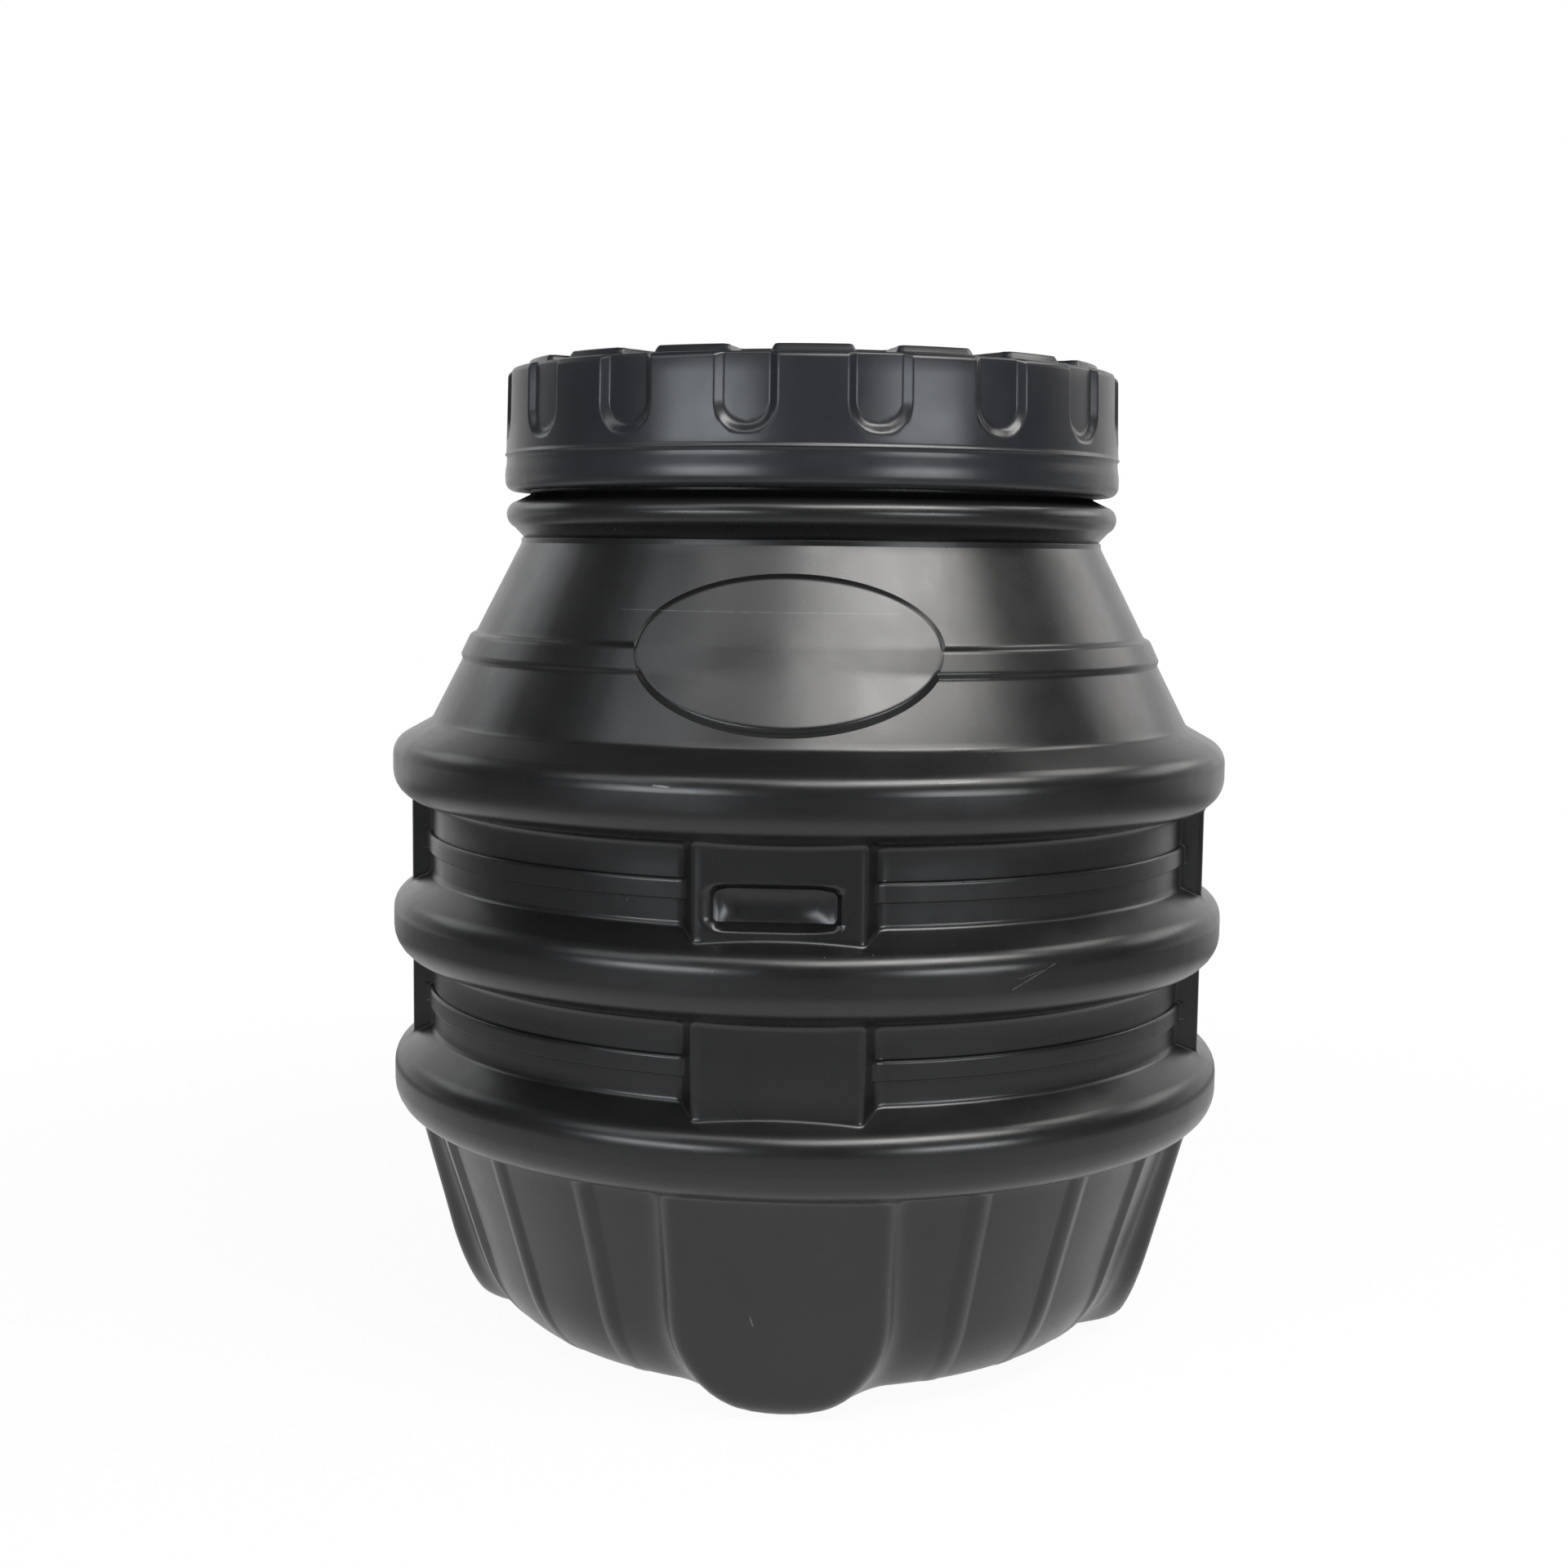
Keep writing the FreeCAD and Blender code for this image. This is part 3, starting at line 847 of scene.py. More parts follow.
    def wall_rows(self, bay: int) -> list[float]:
        """Choose the heights of a bay's rows, close together at the band's edges and at the grips.

        Args:
            bay: Which bay, counted from the lowest.

        Returns:
            The heights, from the lowest up.
        """
        foot = self.ring_low(bay) + self.ring_face + self.ring_shoulder
        low = foot + self.band_rise
        high = low + self.band_height
        rows = [foot + self.band_margins[0], (low + high) / 2.0, high + self.band_margins[1]]
        for edge, run in ((low, self.band_low_run), (high, -self.band_top_run)):
            rows += [edge + run * share for share in self.band_edge_shares]
        if bay == self.grip_bay():
            rows += [self.grip_z - self.grip_half_height + inset for inset in self.grip_edge_rows]
            rows += [self.grip_z + self.grip_half_height - inset for inset in self.grip_edge_rows[:-1]]
        return sorted(rows)

    def add_skirt(self, section: Section, angles: Field) -> None:
        """Add the base, the feet and the skirt up to the lowest ring.

        Args:
            section: The section that gets the rows.
            angles: The columns' angles in radians.
        """
        skirt = self.skirt
        section.add(0.0, skirt.base_z)
        last = section.point(0.0, skirt.base_z)
        for radius, height, aim in skirt.rays():
            last = skirt.surface(angles, radius, height, aim, 0.0)
            section.add(*last)
        top = skirt.surface(angles, skirt.top_r, skirt.top_z, 0.0, 0.0)
        self.add_under_ring(section, 0, last, top[0])

    def add_under_ring(self, section: Section, ring: int, below: Field, wall: Field) -> None:
        """Add the hollow corner under a ring and the ring's rounded underside.

        Args:
            section: The section that gets the rows.
            ring: Which ring, counted from the lowest.
            below: A point on the wall below the corner.
            wall: The wall's radius at the ring.
        """
        middle = (self.ring_r - self.ring_low_round, self.ring_low(ring) + self.ring_low_round)
        share = (wall + self.crease - middle[0]) / self.ring_low_round
        start = np.arcsin(np.clip(share, 0.0, self.landing_limit))
        landing_r = middle[0] + self.ring_low_round * np.sin(start)
        landing_z = middle[1] - self.ring_low_round * np.cos(start)
        corner = section.point(wall, landing_z - (landing_r - wall) * np.tan(start))
        section.arc(below, corner, section.point(landing_r, landing_z), self.crease, steps=4)
        section.sweep(middle, self.ring_low_round, start - math.pi / 2.0, 0.0, steps=7)

    def add_ring(self, section: Section, ring: int) -> None:
        """Add one stiffening ring's face and its upper edge.

        Args:
            section: The section that gets the rows.
            ring: Which ring, counted from the lowest.
        """
        low = self.ring_low(ring)
        high = low + self.ring_face
        slope = section.point(self.wall_r, high + self.ring_shoulder)
        if ring == self.ring_count - 1:
            high = low + self.top_ring_face
            slope = section.point(*self.cone.foot)
        section.add(self.ring_r, (low + self.ring_low_round + high) / 2.0)
        edge = section.point(self.ring_r, high)
        section.arc(section.point(self.ring_r, low), edge, slope, self.ring_top_round, steps=5)

    def add_bay(self, section: Section, angles: Field, bay: int) -> None:
        """Add the wall between two rings with its band, panels and grips.

        Args:
            section: The section that gets the rows.
            angles: The columns' angles in radians.
            bay: Which bay, counted from the lowest.
        """
        high = self.ring_low(bay) + self.ring_face
        panel = self.panel_r(angles)
        wall = soft_max(panel, self.wall_r, self.panel_fillet)
        fall = self.ring_shoulder / (self.ring_r - self.wall_r)
        foot = section.point(wall, high + fall * (self.ring_r - wall))
        above = section.point(wall, self.ring_low(bay + 1))
        section.arc(section.point(self.ring_r, high), foot, above, self.shoulder_crease, steps=3)
        for height in self.wall_rows(bay):
            radius = soft_max(panel, self.wall_r + self.band(bay, height), self.panel_fillet)
            if bay == self.grip_bay():
                radius = radius - self.grip_sink(angles, height)
            section.add(radius, height)
        self.add_under_ring(section, bay + 1, foot, wall)

    def add_cone(self, section: Section, angles: Field) -> None:
        """Add the cone with its belt, from the top ring to the bead.

        Args:
            section: The section that gets the rows.
            angles: The columns' angles in radians.
        """
        foot = section.point(*self.cone.foot)
        top = section.point(*self.cone.top)
        ring_top = section.point(self.ring_r, self.ring_low(self.ring_count - 1) + self.top_ring_face)
        section.arc(ring_top, foot, top, self.cone_crease, steps=4)
        out, up = self.cone.lean()
        for height in self.cone.rows():
            relief = self.cone.belt(angles, height)
            section.add(self.cone.radius(height) + relief * out, height + relief * up)
        ledge = section.point(*self.ledge)
        section.arc(foot, top, ledge, self.cone_edge, steps=2)
        section.arc(top, ledge, section.point(*self.bead_neck), self.ledge_edge, steps=3)

    def add_neck(self, section: Section, angles: Field) -> None:
        """Add the bead, the threaded neck and its rim.

        Args:
            section: The section that gets the rows.
            angles: The columns' angles in radians.
        """
        foot = section.point(self.neck_r, self.neck_foot)
        rim = section.point(self.neck_r, self.neck_top)
        inner_rim = section.point(self.neck_r - self.wall, self.neck_top)
        inside = section.point(self.neck_r - self.wall, self.neck_foot)
        section.add(*self.bead_neck)
        low_middle = (self.bead_r - self.bead_low_round, self.bead_z)
        high_middle = (self.bead_r - self.bead_high_round, self.bead_z)
        section.sweep(low_middle, self.bead_low_round, math.radians(self.bead_low_turn), 0.0, steps=8)
        bead_end = math.radians(self.bead_high_turn)
        section.sweep(high_middle, self.bead_high_round, self.bead_join, bead_end, steps=5)
        bead_top = section.point(high_middle[0], self.bead_z + self.bead_high_round)
        section.arc(bead_top, foot, rim, self.neck_fillet, steps=2)
        low, high = self.neck_foot + self.thread_margin, self.neck_top - self.thread_margin
        for height in np.linspace(low, high, self.thread_rows):
            section.add(self.neck_r + self.thread.relief(angles, float(height)), float(height))
        section.arc(foot, rim, inner_rim, self.neck_edge, steps=2)
        section.arc(rim, inner_rim, inside, self.neck_edge, steps=2)

    def add_inner_neck(self, section: Section) -> None:
        """Add the inner wall of the neck, the bead and the cone, from the rim down.

        Args:
            section: The section that gets the rows.
        """
        bore = self.neck_r - self.wall
        step = self.inner_step
        for height in (self.neck_top - self.inner_rim_drop, self.neck_foot + step, self.neck_foot - step):
            section.add(bore, height)
        hollow, rise, drop = self.inner_bead
        for height in (self.bead_z + rise, self.bead_z - drop):
            section.add(self.bead_r - self.wall - hollow, height)
        lip, sag, drop = self.inner_cone
        (foot_r, foot_z), (top_r, top_z) = self.cone.foot, self.cone.top
        section.add(top_r - self.wall, top_z + lip)
        section.add(top_r - self.wall, top_z - drop)
        section.add((foot_r + top_r) / 2.0 - self.wall, (foot_z + top_z) / 2.0 - sag)
        section.add(foot_r - self.wall, foot_z - drop)

    def add_inner_ring(self, section: Section, ring: int) -> None:
        """Add the inner wall of one ring, from its top down.

        Args:
            section: The section that gets the rows.
            ring: Which ring, counted from the lowest.
        """
        low = self.ring_low(ring) + self.wall
        high = self.ring_low(ring) + self.ring_face - self.inner_ring_drop
        top = section.point(self.ring_r - self.wall, high)
        bottom = section.point(self.ring_r - self.wall, low)
        inward = section.point(self.wall_r - self.wall, low)
        section.add(*top)
        section.arc(top, bottom, inward, self.ring_low_round - self.wall, steps=3)

    def add_inner_bay(self, section: Section, angles: Field, bay: int) -> None:
        """Add the inner wall between two rings, from the upper ring down.

        Args:
            section: The section that gets the rows.
            angles: The columns' angles in radians.
            bay: Which bay, counted from the lowest.
        """
        panel = soft_max(self.panel_r(angles), self.wall_r, self.panel_fillet) - self.wall
        foot = self.ring_low(bay) + self.ring_face + self.ring_shoulder
        rows = [self.ring_low(bay + 1) - self.inner_crease]
        section.add(panel, self.ring_low(bay + 1) + self.wall)
        if bay == self.grip_bay():
            reach = self.grip_half_height + self.wall
            edge = reach - self.inner_grip_edge
            rows += [self.grip_z + offset for offset in (reach, edge, -edge, -reach)]
            rows.append(foot + self.inner_grip_foot)
        else:
            rows += [foot + rise for rise in self.inner_wall_rows]
        for height in rows:
            sink = self.grip_sink(angles, height) if bay == self.grip_bay() else 0.0
            section.add(panel - sink, height)
        section.add(panel, foot - self.inner_foot_drop)

    def add_inside(self, section: Section, angles: Field) -> None:
        """Add the inner wall, from the rim down to the floor.

        Args:
            section: The section that gets the rows.
            angles: The columns' angles in radians.
        """
        self.add_inner_neck(section)
        for ring in reversed(range(self.ring_count)):
            self.add_inner_ring(section, ring)
            if ring > 0:
                self.add_inner_bay(section, angles, ring - 1)
        skirt = self.skirt
        top = (float(skirt.plain_r(skirt.top_z)), skirt.top_z + self.wall, 0.0)
        for radius, height, aim in [top, *reversed(skirt.rays()[::self.inner_ray_step])]:
            inner = skirt.surface(angles, radius, height, aim, self.wall)
            inner[0] = np.minimum(inner[0], self.ring_r - self.ring_low_round - self.wall)
            section.add(*inner)
        section.add(0.0, skirt.base_z + self.wall)

    def section(self, angles: Field) -> Section:
        """Join the outer wall, the rim and the inner wall into one section.

        Args:
            angles: The columns' angles in radians.

        Returns:
            The section's rows, from the outer pole to the inner one.
        """
        section = Section(self.columns)
        self.add_skirt(section, angles)
        for ring in range(self.ring_count):
            self.add_ring(section, ring)
            if ring < self.ring_count - 1:
                self.add_bay(section, angles, ring)
        self.add_cone(section, angles)
        self.add_neck(section, angles)
        self.add_inside(section, angles)
        return section


@dataclass
class ScrewLid(TurnedShell):
    """The screw lid with its grip recesses, notched crown, seal rib and inner thread."""

    grips: int = 16
    columns_per_grip: int = 34
    column_spread: float = 0.35
    notch_crowd: Pair = (3.0, 0.8)
    edge_crowd: Pair = (1.8, 2.4)
    phase: float = 3.5
    outer_r: float = 238.4
    bottom_z: float = 652.0
    bottom_round: float = 8.0
    seam_z: float = 680.0
    seam_step: float = 0.8
    seam_rows: tuple[Pair, ...] = (
        (0.0, 3.0), (0.1, 1.2), (0.9, 0.5), (1.0, -0.4), (-0.2, -1.3), (-0.5, -3.5), (-0.1, -7.5),
    )
    bulge_rows: tuple[Pair, ...] = ((-0.2, -11.5), (0.1, -15.5))
    lip_round: float = 1.2
    rim_r: float = 236.2
    rim_z: float = 744.3
    rim_round: float = 5.2
    rim_pinch: float = 0.6
    crown_r: float = 224.5
    crown_run: float = 3.4
    crown_round: float = 5.0
    top_z: float = 750.0
    dish_rows: tuple[float, ...] = (60.0, 120.0, 160.0, 170.0)
    notch_rows: tuple[float, float, int] = (174.0, 186.0, 9)
    plate_rows: tuple[float, ...] = (192.0, 200.0, 208.0)
    crown_rows: tuple[float, float, int] = (213.0, 228.5, 13)
    bore_r: float = 227.5
    roof_z: float = 734.2
    roof: float = 6.0
    rib_outer: float = 211.7
    rib_inner: float = 208.7
    rib_drop: float = 8.6
    rib_edge: float = 0.6
    grip_half_width: float = 19.6
    grip_edge: float = 2.9
    grip_foot: float = 691.5
    grip_depth: float = 4.5
    grip_side_rows: tuple[float, ...] = (730.0, 724.0, 718.0)
    grip_foot_rows: tuple[float, float, int] = (714.0, 686.0, 20)
    notch_end: float = 182.0
    notch_half_width: float = 13.0
    thread_margins: Pair = (3.0, 4.0)
    thread_rows: int = 28
    thread: Thread = field(default_factory=lambda: Thread(low=657.0, high=726.0, phase=672.0))

    def angles(self) -> Field:
        """Crowd the columns round the sides of the grip recesses.

        Returns:
            The columns' angles in radians, from the first grip round.
        """
        pitch = 2.0 * math.pi / self.grips
        share = np.linspace(0.0, 1.0, SAMPLES)
        across = np.abs(share - 0.5) * pitch * self.outer_r
        density = self.column_spread + Crowd(self.notch_half_width, *self.notch_crowd).density(across)
        for side in (-self.grip_edge, self.grip_edge):
            density += Crowd(self.grip_half_width + side, *self.edge_crowd).density(across)
        total = running_total(density)
        steps = np.arange(self.columns_per_grip) / self.columns_per_grip * total[-1]
        within = np.interp(steps, total, share) * pitch
        start = np.arange(self.grips)[:, None] * pitch + math.radians(self.phase)
        return (start + within[None, :]).ravel()

    def off_grip(self, angles: Field) -> Field:
        """Give the angle from the nearest grip's middle in every column, in radians."""
        pitch = 2.0 * math.pi / self.grips
        return (angles - math.radians(self.phase)) % pitch - pitch / 2.0

    def recess(self, angles: Field, height: float) -> Field:
        """Give how deep the grips are sunk into the lid's wall round one row.

        Args:
            angles: The columns' angles in radians.
            height: The row's height.

        Returns:
            The depth in each column.
        """
        across = np.abs(self.outer_r * np.sin(self.off_grip(angles)))
        past_foot = np.maximum(self.grip_foot + self.grip_half_width - height, 0.0)
        off = np.hypot(across, past_foot) - self.grip_half_width
        return self.grip_depth * np.clip((self.grip_edge - off) / (2.0 * self.grip_edge), 0.0, 1.0)

    def crown(self, angles: Field, radius: float) -> Field:
        """Give the crown's height over the rim round one row of the top.

        Args:
            angles: The columns' angles in radians.
            radius: The row's radius.

        Returns:
            The height in each column.
        """
        off = self.off_grip(angles)
        beside = np.abs(radius * np.sin(off)) - self.notch_half_width
        inward = self.notch_end - radius * np.cos(off)
        from_notch = soft_max(beside, inward, self.crown_round)
        inside = soft_min(from_notch, self.crown_r - radius, self.crown_round)
        return (self.top_z - self.rim_z) * ease(inside, 0.0, self.crown_run)

    def wall_r(self, height: float) -> float:
        """Lean the lid's wall in from the seam to the rim.

        Args:
            height: A height above the seam.

        Returns:
            The wall's radius there.
        """
        foot = self.outer_r - self.seam_step
        share = (height - self.seam_z) / (self.rim_z - self.seam_z)
        return foot + (self.rim_r - foot) * share

    def section(self, angles: Field) -> Section:
        """Join the lid's wall, top, roof and bore into one section.

        Args:
            angles: The columns' angles in radians.

        Returns:
            The section's rows, from the top's pole to the roof's.
        """
        section = Section(self.grips * self.columns_per_grip)
        self.add_top(section, angles)
        self.add_wall(section, angles)
        self.add_inside(section, angles)
        return section

    def add_top(self, section: Section, angles: Field) -> None:
        """Add the crown, from the middle out to the rim.

        Args:
            section: The section that gets the rows.
            angles: The columns' angles in radians.
        """
        section.add(0.0, self.top_z)
        inner = [*self.dish_rows, *np.linspace(*self.notch_rows)]
        for radius in [*inner, *self.plate_rows, *np.linspace(*self.crown_rows)]:
            section.add(radius, self.rim_z + self.crown(angles, float(radius)))

    def add_wall(self, section: Section, angles: Field) -> None:
        """Add the rim, the wall with its recesses, the seam, the bulged band and the bottom edge.

        Args:
            section: The section that gets the rows.
            angles: The columns' angles in radians.
        """
        sunk = self.recess(angles, self.rim_z)
        seam_r = self.wall_r(self.seam_z)
        rim = section.point(self.rim_r - sunk, self.rim_z)
        inner = section.point(self.notch_end, self.rim_z)
        below = section.point(seam_r - sunk, self.seam_z)
        section.arc(inner, rim, below, self.rim_round - self.rim_pinch * sunk, steps=6)
        for height in [*self.grip_side_rows, *np.linspace(*self.grip_foot_rows)]:
            section.add(self.wall_r(height) - self.recess(angles, float(height)), float(height))
        for step, rise in self.seam_rows:
            section.add(seam_r + step, self.seam_z + rise)
        for step, rise in self.bulge_rows:
            section.add(self.outer_r + step, self.seam_z + rise)
        bottom = section.point(self.outer_r, self.bottom_z)
        bore = section.point(self.bore_r, self.bottom_z)
        section.arc(section.point(self.outer_r, self.seam_z), bottom, bore, self.bottom_round, steps=7)
        section.arc(bottom, bore, section.point(self.bore_r, self.roof_z), self.lip_round, steps=2)

    def add_inside(self, section: Section, angles: Field) -> None:
        """Add the threaded bore, the roof and the rib that centres the seal.

        Args:
            section: The section that gets the rows.
            angles: The columns' angles in radians.
        """
        low, high = self.bottom_z + self.thread_margins[0], self.roof_z - self.thread_margins[1]
        for height in np.linspace(low, high, self.thread_rows):
            section.add(self.bore_r - self.thread.relief(angles, float(height)), float(height))
        section.add(self.bore_r, self.roof_z)
        rib_foot = self.roof_z - self.rib_drop
        outer, inner, edge = self.rib_outer, self.rib_inner, self.rib_edge
        rib = (
            (outer, self.roof_z), (outer, rib_foot + edge), (outer - edge, rib_foot),
            (inner + edge, rib_foot), (inner, rib_foot + edge), (inner, self.roof_z),
        )
        for radius, height in rib:
            section.add(radius, height)
        dish = self.notch_end - 2.0 * self.roof
        section.add(dish, self.roof_z)
        for radius in (dish - self.roof, dish / 2.0, 0.0):
            section.add(radius, self.top_z - self.roof)


@dataclass
class LidSeal(TurnedShell):
    """The rubber ring that the lid presses on the neck's rim."""

    columns: int = 240
    inner_r: float = 212.0
    width: float = 9.0
    low_z: float = 725.3
    thickness: float = 8.6
    edge: float = 2.6
    edge_steps: int = 5

    def angles(self) -> Field:
        """Space the columns evenly."""
        return np.arange(self.columns) / self.columns * 2.0 * math.pi

    def section(self, angles: Field) -> Section:
        """Round the four corners of the ring's section, and end it where it starts.

        Args:
            angles: The columns' angles in radians.

        Returns:
            The section's rows, once round the ring.
        """
        section = Section(len(angles))
        outer = self.inner_r + self.width
        high = self.low_z + self.thickness
        corners = [(self.inner_r, self.low_z), (outer, self.low_z), (outer, high), (self.inner_r, high)]
        points = [section.point(*corner) for corner in corners]
        for index, corner in enumerate(points):
            after = points[(index + 1) % len(points)]
            section.arc(points[index - 1], corner, after, self.edge, self.edge_steps)
        section.add(section.radii[0], section.heights[0])
        return section


class NodeSheet:
    """A material's or world's node tree, with short calls that add and join nodes."""

    def __init__(self, tree: bpy.types.NodeTree) -> None:
        """Empty the tree.

        Args:
            tree: The tree to fill.
        """
        self.tree = tree
        tree.nodes.clear()

    def node(self, kind: str, inputs: dict[Any, Any] | None = None, **settings: Any) -> bpy.types.Node:
        """Add a node.

        Args:
            kind: The node's type name.
            inputs: Values or sockets for its inputs, by name or number.
            **settings: The node's own properties.

        Returns:
            The node.
        """
        made = self.tree.nodes.new(kind)
        for name, value in settings.items():
            setattr(made, name, value)
        for name, value in (inputs or {}).items():
            if isinstance(value, Socket):
                self.tree.links.new(value, made.inputs[name])
            else:
                made.inputs[name].default_value = value
        return made

    def math(self, operation: str, *values: Any) -> Socket:
        """Add a Math node and give its result."""
        return self.node("ShaderNodeMath", dict(enumerate(values)), operation=operation).outputs[0]

    def vector(self, operation: str, *values: Any) -> bpy.types.Node:
        """Add a Vector Math node."""
        return self.node("ShaderNodeVectorMath", dict(enumerate(values)), operation=operation)

    def noise(self, place: Socket, scale: float, detail: float = 2.0) -> Socket:
        """Add a Noise Texture and give its value."""
        inputs = {"Vector": place, "Scale": scale, "Detail": detail}
        return self.node("ShaderNodeTexNoise", inputs).outputs["Fac"]

    def remap(self, value: Any, low: float, high: float, to_low: float, to_high: float) -> Socket:
        """Add a clamped Map Range and give its result."""
        inputs = {"Value": value, "From Min": low, "From Max": high, "To Min": to_low, "To Max": to_high}
        return self.node("ShaderNodeMapRange", inputs, clamp=True).outputs[0]

    def blend(self, share: Any, one: Any, other: Any) -> Socket:
        """Add a colour Mix.

        Args:
            share: How much of the other colour shows.
            one: The colour, or a socket, at a share of 0.
            other: The colour, or a socket, at a share of 1.

        Returns:
            The mixed colour.
        """
        made = self.node("ShaderNodeMix", data_type="RGBA")
        for name, value in (("Factor", share), ("A", one), ("B", other)):
            socket = next(s for s in made.inputs if s.name == name and s.enabled)
            if isinstance(value, Socket):
                self.tree.links.new(value, socket)
            else:
                socket.default_value = value
        return next(s for s in made.outputs if s.enabled)

    def bump(
        self, height: Socket, strength: float, depth: float,
        normal: Socket | None = None, invert: bool = False,
    ) -> Socket:
        """Add a Bump.

        Args:
            height: The relief.
            strength: How strongly it shows.
            depth: How deep it is, in metres.
            normal: The normal that it is added to, or None for the surface's own.
            invert: Whether the relief is sunk.

        Returns:
            The bumped normal.
        """
        inputs = {"Height": height, "Strength": strength, "Distance": depth}
        if normal is not None:
            inputs["Normal"] = normal
        return self.node("ShaderNodeBump", inputs, invert=invert).outputs[0]


def blank_material(name: str) -> tuple[bpy.types.Material, NodeSheet]:
    """Make a material with an empty node tree.

    Args:
        name: The material's name.

    Returns:
        The material and the sheet of its tree.
    """
    made = bpy.data.materials.new(name)
    made.use_nodes = True
    return made, NodeSheet(made.node_tree)


class Tone(Enum):
    """How a line shows on black plastic: pale for pale scratches and for painted glints, dark for dark
    scratches.
    """

    PALE = (0.22, 0.22, 0.22, 1.0)
    DARK = (0.002, 0.002, 0.002, 1.0)


@dataclass(frozen=True)
class ScratchOrGlint:
    """A fine line on the front, straight as seen from there, between two points (x, z): a scratch, or a
    painted glint that paints a highlight.
    """

    start: Pair
    end: Pair
    half_width: float
    strength: float
    tone: Tone
    break_scale: ClassVar[float] = 160.0
    break_from: ClassVar[Pair] = (0.35, 0.6)
    break_least: ClassVar[float] = 0.25

    def mask(self, sheet: NodeSheet, place: Socket) -> Socket:
        """Draw the line as a mask.

        Args:
            sheet: The sheet that gets the nodes.
            place: The surface's Object coordinates.

        Returns:
            The mask, which is 0 away from the line.
        """
        start = Vector((self.start[0], 0.0, self.start[1])) * MM
        along = Vector((self.end[0], 0.0, self.end[1])) * MM - start
        level = sheet.vector("MULTIPLY", place, (1.0, 0.0, 1.0)).outputs[0]
        offset = sheet.vector("SUBTRACT", level, start).outputs[0]
        dotted = sheet.vector("DOT_PRODUCT", offset, along / along.length_squared).outputs["Value"]
        share = sheet.node("ShaderNodeClamp", {"Value": dotted}).outputs[0]
        nearest = sheet.vector("SCALE", tuple(along))
        sheet.tree.links.new(share, nearest.inputs["Scale"])
        gap = sheet.vector("DISTANCE", offset, nearest.outputs[0]).outputs["Value"]
        line = sheet.remap(gap, 0.0, self.half_width * MM, self.strength, 0.0)
        toward_back = sheet.vector("DOT_PRODUCT", place, (0.0, 1.0, 0.0)).outputs["Value"]
        line = sheet.math("MULTIPLY", line, sheet.math("LESS_THAN", toward_back, 0.0))
        breaks = sheet.remap(sheet.noise(place, self.break_scale), *self.break_from, self.break_least, 1.0)
        return sheet.math("MULTIPLY", line, breaks)


CHAMBER_SCRATCHES_AND_GLINTS = (
    ScratchOrGlint((-201.3, 608.3), (-208.3, 597.3), 0.8, 0.9, Tone.DARK),
    ScratchOrGlint((-208.3, 597.3), (-204.5, 584.2), 0.8, 0.9, Tone.DARK),
    ScratchOrGlint((-224.0, 559.7), (-217.5, 553.7), 1.0, 0.9, Tone.DARK),
    ScratchOrGlint((-118.0, 567.5), (76.0, 567.4), 0.4, 0.35, Tone.PALE),
    # Painted glints: the next two pale lines paint highlights on the top ring's rounded upper edge.
    ScratchOrGlint((-82.8, 455.0), (-72.8, 454.4), 0.9, 0.9, Tone.PALE),
    ScratchOrGlint((104.2, 458.8), (130.9, 459.8), 0.6, 0.7, Tone.PALE),
    ScratchOrGlint((25.3, 437.8), (41.1, 441.7), 0.7, 0.8, Tone.DARK),
    ScratchOrGlint((155.8, 319.2), (184.5, 334.2), 0.4, 0.4, Tone.PALE),
    ScratchOrGlint((160.0, 326.0), (176.0, 330.5), 0.4, 0.3, Tone.PALE),
    ScratchOrGlint((-172.7, 199.0), (-140.2, 200.4), 0.7, 0.8, Tone.DARK),
    ScratchOrGlint((-132.9, 200.5), (-106.8, 200.8), 0.7, 0.8, Tone.DARK),
    ScratchOrGlint((-56.2, 221.7), (-50.5, 220.2), 0.9, 0.8, Tone.DARK),
    ScratchOrGlint((-19.2, 83.7), (-17.1, 76.0), 0.6, 0.7, Tone.PALE),
)


